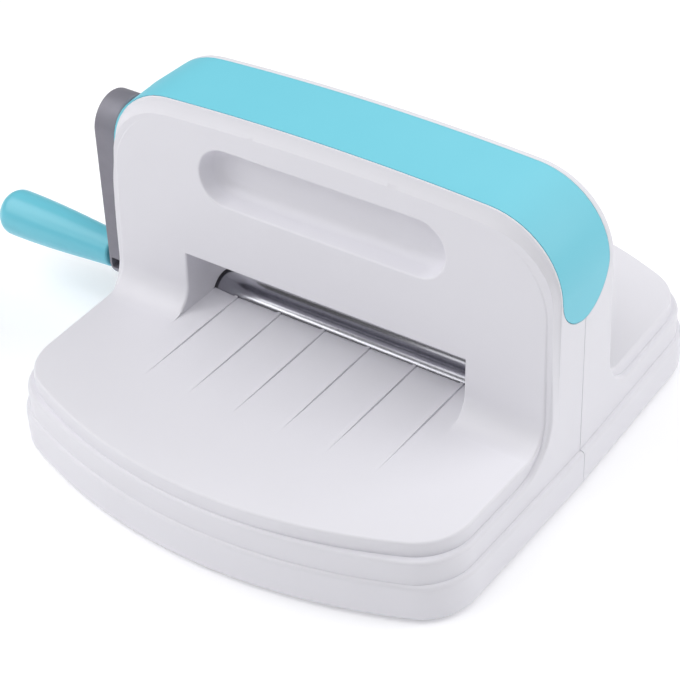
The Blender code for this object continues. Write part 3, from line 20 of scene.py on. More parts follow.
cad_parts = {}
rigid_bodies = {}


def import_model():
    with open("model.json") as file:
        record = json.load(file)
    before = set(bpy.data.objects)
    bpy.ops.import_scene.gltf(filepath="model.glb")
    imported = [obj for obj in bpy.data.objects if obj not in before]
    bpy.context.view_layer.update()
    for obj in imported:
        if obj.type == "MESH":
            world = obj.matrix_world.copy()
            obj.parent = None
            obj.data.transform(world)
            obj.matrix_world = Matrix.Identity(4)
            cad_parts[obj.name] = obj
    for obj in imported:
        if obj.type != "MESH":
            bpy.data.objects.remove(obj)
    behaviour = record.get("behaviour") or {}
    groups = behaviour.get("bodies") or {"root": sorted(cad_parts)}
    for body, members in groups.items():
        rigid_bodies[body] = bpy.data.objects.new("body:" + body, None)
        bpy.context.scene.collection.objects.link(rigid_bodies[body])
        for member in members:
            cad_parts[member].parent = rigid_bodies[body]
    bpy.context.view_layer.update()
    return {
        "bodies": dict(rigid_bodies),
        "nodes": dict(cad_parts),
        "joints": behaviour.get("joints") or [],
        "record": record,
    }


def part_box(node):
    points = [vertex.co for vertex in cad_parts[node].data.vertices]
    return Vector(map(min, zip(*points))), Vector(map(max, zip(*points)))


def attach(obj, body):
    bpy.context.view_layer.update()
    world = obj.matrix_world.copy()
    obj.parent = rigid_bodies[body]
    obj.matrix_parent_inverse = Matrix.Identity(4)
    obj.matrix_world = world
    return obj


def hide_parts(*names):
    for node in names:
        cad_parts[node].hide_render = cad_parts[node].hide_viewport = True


LOG = logging.getLogger("die_cutter")
MM = 0.001
ORIGIN = (48.6 * MM, -1.5 * MM, 2.0 * MM)
OVERRUN = 5.0 * MM
TOUCH_GAP = 0.3 * MM
WELD = 0.002 * MM
LEAST_STEP = 10 * WELD
NEARLY_ALL = 0.995
MOSTLY = 0.9
SHARP = math.radians(30)
QUARTER = math.pi / 2
FLAT = math.radians(0.08)
STEADY_WEIGHT = 60
WHITE_LIGHT = (1.0, 1.0, 1.0, 1.0)

Point = tuple[float, float, float]
Pair = tuple[float, float]
Piece = bpy.types.Object
Source = tuple[bpy.types.Node, str | int]


class Side(Enum):
    """The half of the machine, as the sign of its Y."""

    FRONT = -1
    REAR = 1


class Combine(Enum):
    """What a Boolean does with its tool."""

    CUT = "DIFFERENCE"
    JOIN = "UNION"
    KEEP = "INTERSECT"


@dataclass(frozen=True)
class Steps:
    """How many straight stretches stand for a bow, a corner and a rounded edge."""

    bow: int
    corner: int
    edge: int


FINE = Steps(bow=14, corner=14, edge=4)
COARSE = Steps(bow=3, corner=5, edge=2)
RIM_STEPS = 18
CHANNEL_STEPS = 24
FLANK_STEPS = 8
GRIP_STEPS = 24
TONGUE_STEPS = 48
ARM_STEPS = (56, 40)
ROUND_STEPS = 64
FOOT_STEPS = 48
KNOB_STEPS = 72
WAY_STEPS = 96


def linear_colour(code: str) -> tuple[float, float, float, float]:
    """Turn an sRGB hex colour into linear light.

    Args:
        code: Colour such as "#7CD6E8".

    Returns:
        Red, green and blue in linear light, and an alpha of one.
    """
    channels = []
    for start in (1, 3, 5):
        value = int(code[start:start + 2], 16) / 255
        low = value / 12.92
        high = ((value + 0.055) / 1.055) ** 2.4
        channels.append(low if value <= 0.04045 else high)
    return (channels[0], channels[1], channels[2], 1.0)


class Surface:
    """A Principled material and the texture nodes that the finishes share."""

    def __init__(self, name: str) -> None:
        """Start a material with a bare Principled shader.

        Args:
            name: Name of the material.
        """
        self.material = bpy.data.materials.new(name)
        self.material.use_nodes = True
        self.tree = self.material.node_tree
        self.shader = self.tree.nodes["Principled BSDF"]

    def node(
        self,
        kind: str,
        values: dict[Any, Any] | None = None,
        links: dict[Any, Source] | None = None,
        **settings: str,
    ) -> bpy.types.Node:
        """Add a node.

        Args:
            kind: Blender's name for the node's class.
            values: Values by input socket, for sockets that nothing is linked to.
            links: For each input socket, the node and the output socket that feed it.
            settings: Attributes of the node.

        Returns:
            The new node.
        """
        node = self.tree.nodes.new(kind)
        for name, value in settings.items():
            setattr(node, name, value)
        for socket, value in (values or {}).items():
            node.inputs[socket].default_value = value
        for socket, (source, output) in (links or {}).items():
            self.tree.links.new(source.outputs[output], node.inputs[socket])
        return node

    def place(self) -> Source:
        """Return the place on the object, from one node that is added when first asked for."""
        found = [node for node in self.tree.nodes if node.bl_idname == "ShaderNodeTexCoord"]
        return (found[0] if found else self.node("ShaderNodeTexCoord")), "Object"

    def noise(
        self, size: float, detail: float = 2.0, roughness: float = 0.5, place: Source | None = None
    ) -> Source:
        """Add noise.

        Args:
            size: Width of its patches.
            detail: Number of finer layers.
            roughness: Strength of the finer layers.
            place: Where it is read, if not at the place on the object.

        Returns:
            The noise, from 0 to 1.
        """
        values = {"Scale": 1 / size, "Detail": detail, "Roughness": roughness}
        return self.node("ShaderNodeTexNoise", values, {"Vector": place or self.place()}), "Fac"

    def cells(self, size: float) -> bpy.types.Node:
        """Add irregular cells of a size over the object."""
        return self.node("ShaderNodeTexVoronoi", {"Scale": 1 / size}, {"Vector": self.place()})

    def compute(self, operation: str, first: Source, second: Source | float) -> Source:
        """Work out a value from a source and a second source or number.

        Args:
            operation: Blender's name for the operation.
            first: The source.
            second: What it is compared with or multiplied by.

        Returns:
            The result.
        """
        if isinstance(second, float):
            return self.node("ShaderNodeMath", {1: second}, {0: first}, operation=operation), 0
        return self.node("ShaderNodeMath", None, {0: first, 1: second}, operation=operation), 0

    def blend(self, first: Source | str, second: str, share: Source) -> Source:
        """Mix two colours.

        Args:
            first: Hex colour or source, seen where the share is 0.
            second: Hex colour, seen where the share is 1.
            share: The share.

        Returns:
            The colour.
        """
        values, links = {7: linear_colour(second)}, {0: share}
        if isinstance(first, str):
            values[6] = linear_colour(first)
        else:
            links[6] = first
        return self.node("ShaderNodeMix", values, links, data_type="RGBA"), 2

    def feed(self, socket: str, source: Source) -> None:
        """Link a source to one of the shader's sockets."""
        self.tree.links.new(source[0].outputs[source[1]], self.shader.inputs[socket])

    def fix(self, **values: float) -> None:
        """Set the shader's sockets that are the same all over, by their names."""
        for socket, value in values.items():
            self.shader.inputs[socket].default_value = value

    def polish(self, source: Source, low: float, high: float) -> None:
        """Let the roughness run from low to high with a source."""
        node = self.node("ShaderNodeMapRange", {"To Min": low, "To Max": high}, {"Value": source})
        self.feed("Roughness", (node, "Result"))

    def emboss(self, source: Source, height: float, strength: float = 0.5) -> None:
        """Raise a relief of a height and strength from a source."""
        node = self.node("ShaderNodeBump", {"Strength": strength, "Distance": height}, {"Height": source})
        self.feed("Normal", (node, "Normal"))


@dataclass(frozen=True)
class MouldedPlastic:
    """Injection moulded ABS or acetal with the fine matt grain of a spark eroded mould.

    The grain breaks up highlights into a soft sheen, the melt's flow leaves faint cloudy changes of
    tone, and a few specks catch the eye from close by. The grain is 0.05 to 0.1 mm across, and is
    drawn coarser so that it shows.
    """

    name: str
    tone: str
    shade: str
    roughness: float
    grain: float = 0.9 * MM
    grain_height: float = 0.012 * MM
    flow: float = 45.0 * MM
    sheen: float = 0.06
    speck_share: float = 0.0
    speck_spacing: float = 14.0 * MM
    speck_size: float = 0.045
    speck_strength: float = 0.4
    speck_tone: str = "#8C8A90"

    def paint(self, surface: Surface) -> None:
        """Give a surface the look of the moulding.

        Args:
            surface: Surface under way.
        """
        surface.fix(IOR=1.53)
        flow = surface.noise(self.flow, detail=2.0, roughness=0.4)
        colour = surface.blend(self.tone, self.shade, flow)
        if self.speck_share > 0:
            colour = self.speckled(surface, colour)
        surface.feed("Base Color", colour)
        surface.polish(flow, self.roughness - self.sheen, self.roughness + self.sheen)
        surface.emboss(surface.noise(self.grain, detail=3.0, roughness=0.6), self.grain_height)

    def speckled(self, surface: Surface, clean: Source) -> Source:
        """Scatter a few grey specks, such as dust moulded into the skin.

        Args:
            surface: Surface under way.
            clean: Its clean colour.

        Returns:
            The speckled colour.
        """
        cells = surface.cells(self.speck_spacing)
        lot = surface.node("ShaderNodeSeparateColor", None, {"Color": (cells, "Color")})
        near = surface.compute("LESS_THAN", (cells, "Distance"), self.speck_size)
        chosen = surface.compute("LESS_THAN", (lot, "Red"), self.speck_share)
        speck = surface.compute("MULTIPLY", surface.compute("MULTIPLY", near, chosen), self.speck_strength)
        return surface.blend(clean, self.speck_tone, speck)


@dataclass(frozen=True)
class PowderCoat:
    """Die cast zinc with a grey satin powder coat: a soft orange peel over a slightly mottled tone."""

    name: str
    tone: str
    shade: str
    roughness: float
    mottle: float = 9.0 * MM
    peel: float = 1.6 * MM
    peel_height: float = 0.03 * MM
    swing: Pair = (-0.05, 0.1)

    def paint(self, surface: Surface) -> None:
        """Give a surface the look of the coat.

        Args:
            surface: Surface under way.
        """
        surface.fix(Metallic=0.25)
        mottle = surface.noise(self.mottle, detail=4.0, roughness=0.55)
        surface.feed("Base Color", surface.blend(self.tone, self.shade, mottle))
        surface.polish(mottle, self.roughness + self.swing[0], self.roughness + self.swing[1])
        surface.emboss(surface.noise(self.peel, detail=1.5), self.peel_height, strength=0.4)


@dataclass(frozen=True)
class TurnedSteel:
    """Steel bar turned on a lathe and polished: fine rings round the axis over a mirror-like skin.

    The tool's marks are 0.05 mm apart, and are drawn coarser so that they show.
    """

    name: str
    tone: str
    shade: str
    roughness: float
    ring: float = 0.5 * MM
    ring_length: float = 50.0 * MM
    ring_height: float = 0.002 * MM
    handling: float = 12.0 * MM
    swing_shares: Pair = (0.7, 1.5)

    def paint(self, surface: Surface) -> None:
        """Give a surface the look of the steel.

        Args:
            surface: Surface under way.
        """
        surface.fix(Metallic=1.0, Anisotropic=0.3)
        scale = (1 / self.ring, 1 / self.ring_length, 1 / self.ring_length)
        stretch = surface.node("ShaderNodeMapping", {"Scale": scale}, {"Vector": surface.place()})
        rings = surface.noise(1.0, detail=3.0, roughness=0.7, place=(stretch, "Vector"))
        handling = surface.noise(self.handling, detail=3.0)
        surface.feed("Base Color", surface.blend(self.tone, self.shade, handling))
        surface.polish(rings, *(self.roughness * share for share in self.swing_shares))
        surface.emboss(rings, self.ring_height, strength=0.4)


@dataclass(frozen=True)
class MetalStock:
    """Plated sheet, pressed powder or hardened gear steel, told apart by grain size and roughness.

    Zinc plate shows broad pale spangle, sintered bronze shows fine dark pores, and gear steel a
    blackened skin that is rubbed bright in places.
    """

    name: str
    tone: str
    shade: str
    roughness: float
    grain: float
    pores: bool = False
    relief: float = 0.02 * MM
    cloud_size: float = 6.0
    swing: Pair = (0.12, -0.08)

    def paint(self, surface: Surface) -> None:
        """Give a surface the look of the metal.

        Args:
            surface: Surface under way.
        """
        surface.fix(Metallic=1.0)
        grain = (surface.cells(self.grain), "Distance") if self.pores else surface.noise(self.grain)
        cloud = surface.noise(self.cloud_size * self.grain, detail=3.0)
        patchy = surface.compute("MULTIPLY", grain, cloud)
        spread = surface.node("ShaderNodeMapRange", {"From Max": 0.45}, {"Value": patchy})
        surface.feed("Base Color", surface.blend(self.shade, self.tone, (spread, "Result")))
        surface.polish(cloud, self.roughness + self.swing[0], self.roughness + self.swing[1])
        surface.emboss(grain, self.relief, strength=0.3)


@dataclass(frozen=True)
class MouldedRubber:
    """Compression moulded black rubber: very matt, with a bloom of paler dust in its fine grain."""

    name: str
    tone: str
    bloom: str
    grain: float = 0.7 * MM
    grain_height: float = 0.03 * MM

    def paint(self, surface: Surface) -> None:
        """Give a surface the look of the rubber.

        Args:
            surface: Surface under way.
        """
        surface.fix(Roughness=0.82, IOR=1.52)
        grain = surface.noise(self.grain, detail=4.0)
        surface.feed("Base Color", surface.blend(self.tone, self.bloom, grain))
        surface.emboss(grain, self.grain_height)


class Finish(Enum):
    """The finishes of the machine, by the record's material slot."""

    WHITE = MouldedPlastic("white_moulding", "#EBEAF0", "#E8E7ED", 0.46, speck_share=0.012)
    TEAL = MouldedPlastic("teal_moulding", "#7BD5E7", "#75D0E3", 0.48, grain_height=0.006 * MM)
    GRIP = MouldedPlastic("teal_moulding", "#71CCDF", "#6CC6D9", 0.32, grain_height=0.004 * MM, sheen=0.03)
    CASTING = PowderCoat("grey_casting", "#8C8A93", "#82808A", 0.48)
    STEEL = TurnedSteel("polished_steel", "#B9B9C0", "#A9A9B0", 0.2)
    ZINC = MetalStock("zinc_plate", "#C6C8CC", "#9A9DA3", 0.38, 3.5 * MM)
    BRONZE = MetalStock("sintered_bronze", "#B0864E", "#6E5230", 0.50, 0.5 * MM, pores=True)
    GEAR = MetalStock("gear_steel", "#8E9096", "#55575C", 0.40, 1.2 * MM)
    DARK = MouldedPlastic("dark_moulding", "#2A2A2E", "#222226", 0.45)
    RUBBER = MouldedRubber("black_rubber", "#151515", "#262626")

    def material(self) -> bpy.types.Material:
        """Return the finish's material, built the first time it is asked for."""
        return bpy.data.materials.get(self.label()) or self.fresh()

    def fresh(self) -> bpy.types.Material:
        """Build the finish's material under a name of its own."""
        surface = Surface(self.label())
        self.value.paint(surface)
        return surface.material

    def label(self) -> str:
        """Return the name of the finish's material."""
        return f"{self.value.name}_{self.name.lower()}"


def eased(share: float) -> float:
    """Turn a share into one that starts and ends gently, and stays between nought and one."""
    clipped = min(max(share, 0.0), 1.0)
    return clipped * clipped * (3 - 2 * clipped)


def arc(centre: Pair, radius: float, start: float, end: float, steps: int) -> list[Pair]:
    """Place points on an arc.

    Args:
        centre: Centre of the arc.
        radius: Its radius.
        start: Angle of the first point from the first axis.
        end: Angle of the last point.
        steps: Number of chords.

    Returns:
        The points, both ends included.
    """
    points = []
    for step in range(steps + 1):
        angle = start + (end - start) * step / steps
        points.append((centre[0] + radius * math.cos(angle), centre[1] + radius * math.sin(angle)))
    return points


def quarter_turn(steps: int) -> list[Pair]:
    """Return the sine and cosine at even steps through a quarter turn."""
    angles = [QUARTER * step / steps for step in range(steps + 1)]
    return [(math.sin(angle), math.cos(angle)) for angle in angles]


def span(side: Side, first: float, second: float) -> Pair:
    """Turn two distances from the seam into places along Y, the lower one first."""
    low, high = sorted((side.value * first, side.value * second))
    return low, high


def bowed_edge(half_width: float, peak: float, bow: float, corner: float, steps: Steps) -> list[Pair]:
    """Draw half of an edge that bows across the middle and turns a round corner.

    Args:
        half_width: Distance of the edge's end from the middle.
        peak: Height of the edge in the middle.
        bow: Radius across the middle.
        corner: Radius of the corner.
        steps: Fineness.

    Returns:
        Pairs of distance from the middle and height.
    """
    tangent = math.asin((half_width - corner) / (bow - corner))
    level = peak - bow + (bow - corner) * math.cos(tangent)
    points = []
    for step in range(steps.bow):
        angle = tangent * step / steps.bow
        points.append((bow * math.sin(angle), peak - bow + bow * math.cos(angle)))
    for step in range(steps.corner + 1):
        angle = tangent + (QUARTER - tangent) * step / steps.corner
        points.append((half_width - corner + corner * math.sin(angle), level + corner * math.cos(angle)))
    return points


def height_at(edge: Sequence[Pair], across: float) -> float:
    """Read a bowed edge's height at a distance from the middle.

    Args:
        edge: Pairs of distance and height.
        across: Place across the machine, on either side.

    Returns:
        The height, straight between the edge's points.
    """
    distance = abs(across)
    for (near, first), (far, second) in zip(edge, edge[1:]):
        if distance <= far:
            return first + (second - first) * (distance - near) / (far - near)
    return edge[-1][1]


def both_sides(*edges: Sequence[Pair]) -> list[float]:
    """List the places across the machine where any of the edges has a point.

    Args:
        edges: Bowed edges.

    Returns:
        Sorted places on both sides of the middle, without near repeats.
    """
    places = {distance for edge in edges for distance, _ in edge}
    ordered = sorted(places | {-place for place in places})
    kept = [ordered[0]]
    for place in ordered[1:]:
        if place - kept[-1] > 5 * WELD:
            kept.append(place)
    return kept


def new_piece(name: str, mesh: bmesh.types.BMesh) -> Piece:
    """Turn a bmesh into an object of the scene.

    Args:
        name: Name of the object.
        mesh: Bmesh, which is freed.

    Returns:
        The object.
    """
    data = bpy.data.meshes.new(name)
    mesh.to_mesh(data)
    mesh.free()
    piece = bpy.data.objects.new(name, data)
    bpy.context.scene.collection.objects.link(piece)
    return piece


def skin(name: str, sections: Sequence[Sequence[Point]], flat_angle: float = 0.0) -> Piece:
    """Join closed sections of equal length into one solid with flat ends.

    Args:
        name: Name of the object.
        sections: Closed rings of points, in order.
        flat_angle: Neighbouring faces within this angle are merged. Zero keeps them all.

    Returns:
        The solid.
    """
    work = bmesh.new()
    rings = [[work.verts.new(point) for point in section] for section in sections]
    for near, far in zip(rings, rings[1:]):
        for index, corner in enumerate(near):
            work.faces.new((near[index - 1], corner, far[index], far[index - 1]))
    work.faces.new(rings[0])
    work.faces.new(rings[-1])
    bmesh.ops.recalc_face_normals(work, faces=work.faces)
    if flat_angle > 0:
        bmesh.ops.dissolve_limit(work, angle_limit=flat_angle, verts=work.verts, edges=work.edges)
        parts = work.verts[:] + work.edges[:] + work.faces[:]
        bmesh.ops.bisect_plane(work, geom=parts, dist=WELD, plane_co=(0, 0, 0), plane_no=(0, 1, 0))
    return new_piece(name, work)


def prism(name: str, outline: Sequence[Pair], near: float, far: float, plane: str) -> Piece:
    """Extrude a closed outline.

    Args:
        name: Name of the object.
        outline: Points in the plane's two axes.
        near: Start on the third axis.
        far: End on the third axis.
        plane: The plane's axes, "YZ", "XZ" or "XY".

    Returns:
        The solid.
    """
    rings = []
    for reach in (near, far):
        if plane == "YZ":
            rings.append([(reach, first, second) for first, second in outline])
        elif plane == "XZ":
            rings.append([(first, reach, second) for first, second in outline])
        else:
            rings.append([(first, second, reach) for first, second in outline])
    return skin(name, rings)


def box(name: str, wide: Pair, along: Pair, tall: Pair) -> Piece:
    """Make a plain block from its reach on X, Y and Z, used as a tool."""
    outline = [(along[0], tall[0]), (along[1], tall[0]), (along[1], tall[1]), (along[0], tall[1])]
    return prism(name, outline, *wide, "YZ")


def rod_tool(
    name: str, radius: float, near: float, far: float, centre: Pair, steps: int = ROUND_STEPS
) -> Piece:
    """Make a round bar along X, used as a tool."""
    outline = arc(centre, radius, 0.0, 2 * math.pi * (steps - 1) / steps, steps - 1)
    return prism(name, outline, near, far, "YZ")


def turned(name: str, profile: Sequence[Pair], centre: Point, axis: str, steps: int) -> Piece:
    """Turn a profile round an axis.

    Args:
        name: Name of the object.
        profile: Pairs of radius and distance along the axis, which start and end on the axis.
        centre: Point on the axis that the distances are measured from.
        axis: "X" or "Z".
        steps: Number of faces round the axis.

    Returns:
        The solid.
    """
    work = bmesh.new()
    rings: list[list[bmesh.types.BMVert]] = []
    for radius, along in profile:
        ring = []
        for step in range(steps if radius > 0 else 1):
            angle = 2 * math.pi * step / steps
            first = radius * math.cos(angle)
            second = radius * math.sin(angle)
            place = (along, first, second) if axis == "X" else (first, second, along)
            ring.append(work.verts.new(Vector(place) + Vector(centre)))
        rings.append(ring)
    for near, far in zip(rings, rings[1:]):
        for step in range(steps):
            corners = [near[step - 1 if len(near) > 1 else 0], near[step if len(near) > 1 else 0]]
            corners += [far[step if len(far) > 1 else 0], far[step - 1 if len(far) > 1 else 0]]
            work.faces.new(list(dict.fromkeys(corners)))
    bmesh.ops.recalc_face_normals(work, faces=work.faces)
    return new_piece(name, work)


def applied(piece: Piece) -> Piece:
    """Replace a piece's mesh by what its modifiers make of it.

    Args:
        piece: The piece.

    Returns:
        The same piece, without modifiers.
    """
    bpy.context.view_layer.update()
    shape = piece.evaluated_get(bpy.context.evaluated_depsgraph_get())
    mesh = bpy.data.meshes.new_from_object(shape)
    piece.modifiers.clear()
    piece.data = mesh
    return piece


def bevelled(piece: Piece, width: float, segments: int) -> Piece:
    """Round every sharp edge of a piece.

    Args:
        piece: The piece.
        width: Width of the rounding.
        segments: Faces across it.

    Returns:
        The same piece.
    """
    rounding = piece.modifiers.new("rounding", "BEVEL")
    rounding.width = width
    rounding.segments = segments
    rounding.limit_method = "ANGLE"
    rounding.angle_limit = SHARP
    return applied(piece)


def combined(piece: Piece, way: Combine, *tools: Piece) -> Piece:
    """Cut, join or trim a piece with tools, which are used up.

    Args:
        piece: The piece.
        way: What to do with the tools.
        tools: Solids.

    Returns:
        The same piece.
    """
    for tool in tools:
        step = piece.modifiers.new(tool.name, "BOOLEAN")
        step.object = tool
        step.operation = way.value
        step.solver = "EXACT"
    applied(piece)
    for tool in tools:
        bpy.data.objects.remove(tool)
    return piece


def rounded_where(piece: Piece, width: float, segments: int, chosen: Callable[[Vector, Vector], bool]) -> Piece:
    """Round the sharp outward edges of a piece that lie at chosen places.

    Args:
        piece: The piece.
        width: Width of the rounding.
        segments: Faces across it.
        chosen: Says from an edge's middle and direction whether it is rounded.

    Returns:
        The same piece.
    """
    work = bmesh.new()
    work.from_mesh(piece.data)
    bmesh.ops.remove_doubles(work, verts=work.verts, dist=WELD)
    edges = []
    for edge in work.edges:
        if len(edge.link_faces) != 2 or not edge.is_convex or edge.calc_face_angle() < SHARP:
            continue
        start, end = (vertex.co for vertex in edge.verts)
        if chosen((start + end) / 2, (end - start).normalized()):
            edges.append(edge)
    bmesh.ops.bevel(
        work, geom=edges, offset=width, offset_type="OFFSET", segments=segments, profile=0.5,
        affect="EDGES", clamp_overlap=False,
    )
    work.to_mesh(piece.data)
    work.free()
    return piece


def dressed(piece: Piece, finish: Finish, body: str, node: str, steady: bool = True) -> Piece:
    """Move a finished mesh into the CAD frame, shade it, and tie it to its body.

    Args:
        piece: The piece, round the machine's own middle.
        finish: Its finish.
        body: CAD body that it moves with.
        node: CAD node that it stands for.
        steady: Whether large faces keep their own direction next to rounded edges.

    Returns:
        The piece.
    """
    piece.data.transform(Matrix.Translation(ORIGIN))
    piece.data.shade_smooth()
    piece.data.set_sharp_from_angle(angle=SHARP)
    if steady:
        normals = piece.modifiers.new("steady_normals", "WEIGHTED_NORMAL")
        normals.keep_sharp = True
        normals.weight = STEADY_WEIGHT
    piece.data.materials.clear()
    piece.data.materials.append(finish.material())
    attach(piece, body)
    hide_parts(node)
    LOG.info("%s: %d faces", piece.name, len(piece.data.polygons))
    return piece


@dataclass(frozen=True)
class Layer:
    """One moulded layer of a housing: a deck with a bowed front and the tower that rises from it."""

    half_width: float
    length: float
    bow: float
    base_corner: float
    deck: float
    top: float
    tower_corner: float
    face: float
    fillet: float
    draft_share: float
    bottom: float
    seam: float
    face_share: float

    def shrunk(self, wall: float, bottom: float, seam: float) -> "Layer":
        """Move every wall in.

        Args:
            wall: Thickness to take off.
            bottom: New height of the layer's underside.
            seam: New reach past the seam.

        Returns:
            The smaller layer.
        """
        names = ("half_width", "length", "bow", "base_corner", "deck", "top", "tower_corner", "face")
        smaller = {name: getattr(self, name) - wall for name in names}
        return replace(self, **smaller, fillet=self.fillet + wall, bottom=bottom, seam=seam)


@dataclass(frozen=True)
class Casing:
    """The moulded white casing, in two halves that meet at a seam across the tower."""

    tunnel_half: float = 80.0 * MM
    slot_top: float = 72.85 * MM
    deck: float = 41.2 * MM
    floor_drop: float = 0.35 * MM
    floor_length: float = 50.0 * MM
    roof_length: float = 16.0 * MM
    wall: float = 3.0 * MM
    seam_gap: float = 0.3 * MM
    taper_share: float = 0.0211
    roof_share: float = 0.03
    face_share: float = 0.042
    crown_radius: float = 1455.0 * MM
    tower_corner: float = 40.0 * MM
    tower_height: float = 159.0 * MM
    skirt_half: float = 128.6 * MM
    skirt_height: float = 20.2 * MM
    skirt_round: float = 2.4 * MM
    side_half: float = 126.1 * MM
    side_deck: float = 33.2 * MM
    side_round: float = 1.8 * MM
    rim_land: float = 1.2 * MM
    rim_slant: float = 2.9 * MM
    rim_drop: float = 7.4 * MM
    rim_curl: float = 1.8
    rim_lift: float = 0.6 * MM
    rim_side_share: float = 0.2
    rim_foot: float = 52.0 * MM
    sunk: float = 1.7 * MM
    sunk_foot: float = 98.0 * MM
    sunk_fade: float = 20.0 * MM
    side_fillet: float = 24.0 * MM
    side_bottom: float = 8.0 * MM
    core_half: float = 123.4 * MM
    core_round: float = 1.6 * MM
    core_top_step: float = 7.4 * MM
    core_draft_share: float = 0.0215
    core_fillet: float = 14.0 * MM
    core_bottom: float = 14.0 * MM
    length_step: float = 1.9 * MM
    face_step: float = 0.8 * MM
    side_face_share: float = 0.032
    skirt_bow: float = 290.0 * MM
    core_bow: float = 263.0 * MM
    base_corner: float = 29.0 * MM
    front_length: float = 141.5 * MM
    rear_length: float = 144.5 * MM
    front_face: float = 27.88 * MM
    rear_face: float = 28.4 * MM
    rib_count: int = 6
    rib_pitch: float = 26.59 * MM
    rib_width: float = 2.0 * MM
    rib_round: float = 0.3 * MM
    channel_length: float = 75.0 * MM
    channel_depth: float = 0.9 * MM
    channel_curl: float = 2.2
    groove_width: float = 0.55 * MM
    groove_depth: float = 0.35 * MM
    groove_fade: float = 0.7
    groove_bevel_share: float = 0.2
    grip_length: float = 137.0 * MM
    grip_height: float = 30.0 * MM
    grip_depth: float = 12.0 * MM
    grip_level: float = 123.6 * MM
    grip_floor_round: float = 6.5 * MM
    grip_mouth_round: float = 1.0 * MM
    grip_draft: float = 1.2 * MM
    mouth_round: float = 1.4 * MM
    mouth_foot: float = 1.2 * MM
    edge_slack: float = 0.06 * MM
    edge_break: float = 0.25 * MM
    roller_way: float = 9.45 * MM
    wall_way: float = 10.3 * MM
    roller_levels: Pair = (36.0 * MM, 69.0 * MM)
    cover_front: float = 20.5 * MM
    cover_rear: float = 21.0 * MM
    cover_tip: float = 97.5 * MM
    cover_thickness: float = 1.6 * MM
    shaft_hole: float = 7.5 * MM
    crank_level: float = 117.0 * MM

    def length(self, side: Side) -> float:
        """Return how far the base reaches from the seam on a side."""
        return self.front_length if side is Side.FRONT else self.rear_length

    def face(self, side: Side) -> float:
        """Return how far the tower's face stands from the seam at the top of the slot."""
        return self.front_face if side is Side.FRONT else self.rear_face

    def section(
        self, ring: Sequence[Pair], across: float, sign: int, half_width: float, draft_share: float = 0.0
    ) -> list[Point]:
        """Stand a section across the machine, moved in by its side's taper and draft.

        Args:
            ring: Pairs of distance from the seam and height. A distance below zero takes no taper.
            across: Place of the section before it is moved in.
            sign: Sign of the half's Y.
            half_width: Half width of the shape.
            draft_share: Draft of its side above the deck.

        Returns:
            The section's points.
        """
        points = []
        for along, level in ring:
            inset = self.taper_share * max(along, 0.0) + draft_share * (level - self.deck)
            points.append((across * (1 - inset / half_width), sign * along, level))
        return points

    def side_layer(self, side: Side) -> Layer:
        """Return the outer layer: side panels, tower shoulders and the middle band."""
        return Layer(
            self.side_half, self.length(side) - self.length_step, self.skirt_bow, self.base_corner,
            self.side_deck, self.tower_height, self.tower_corner, self.face(side) - self.face_step,
            self.side_fillet, 0.0, self.side_bottom, OVERRUN / 2, self.side_face_share,
        )

    def core_layer(self, side: Side) -> Layer:
        """Return the inner layer: the deck, the fillet and the tower's face."""
        return Layer(
            self.core_half, self.length(side) - 2 * self.length_step, self.core_bow, self.base_corner,
            self.deck, self.tower_height - self.core_top_step, self.tower_corner, self.face(side),
            self.core_fillet, self.core_draft_share, self.core_bottom, OVERRUN / 4, self.face_share,
        )

    def layer_solid(self, name: str, layer: Layer, side: Side, steps: Steps) -> Piece:
        """Build a layer from sections across the machine.

        Args:
            name: Name of the object.
            layer: The layer.
            side: Half of the machine.
            steps: Fineness.

        Returns:
            The solid.
        """
        crown = bowed_edge(layer.half_width, layer.top, self.crown_radius, layer.tower_corner, steps)
        plan = bowed_edge(layer.half_width, layer.length, layer.bow, layer.base_corner, steps)
        sections = []
        for across in both_sides(crown, plan):
            roof = height_at(crown, across)
            front = height_at(plan, across)
            eaves = roof - self.roof_share * layer.face
            eaves_y = layer.face - layer.face_share * (eaves - self.slot_top)
            foot = layer.deck + layer.fillet
            foot_y = layer.face - layer.face_share * (foot - self.slot_top)
            ring = [(-layer.seam, layer.bottom), (-layer.seam, roof), (0.0, roof), (eaves_y, eaves)]
            ring += arc((foot_y + layer.fillet, foot), layer.fillet, math.pi, 3 * QUARTER, steps.corner)
            ring += [(front, layer.deck), (front, layer.bottom)]
            sections.append(self.section(ring, across, side.value, layer.half_width, layer.draft_share))
        return skin(name, sections, FLAT)

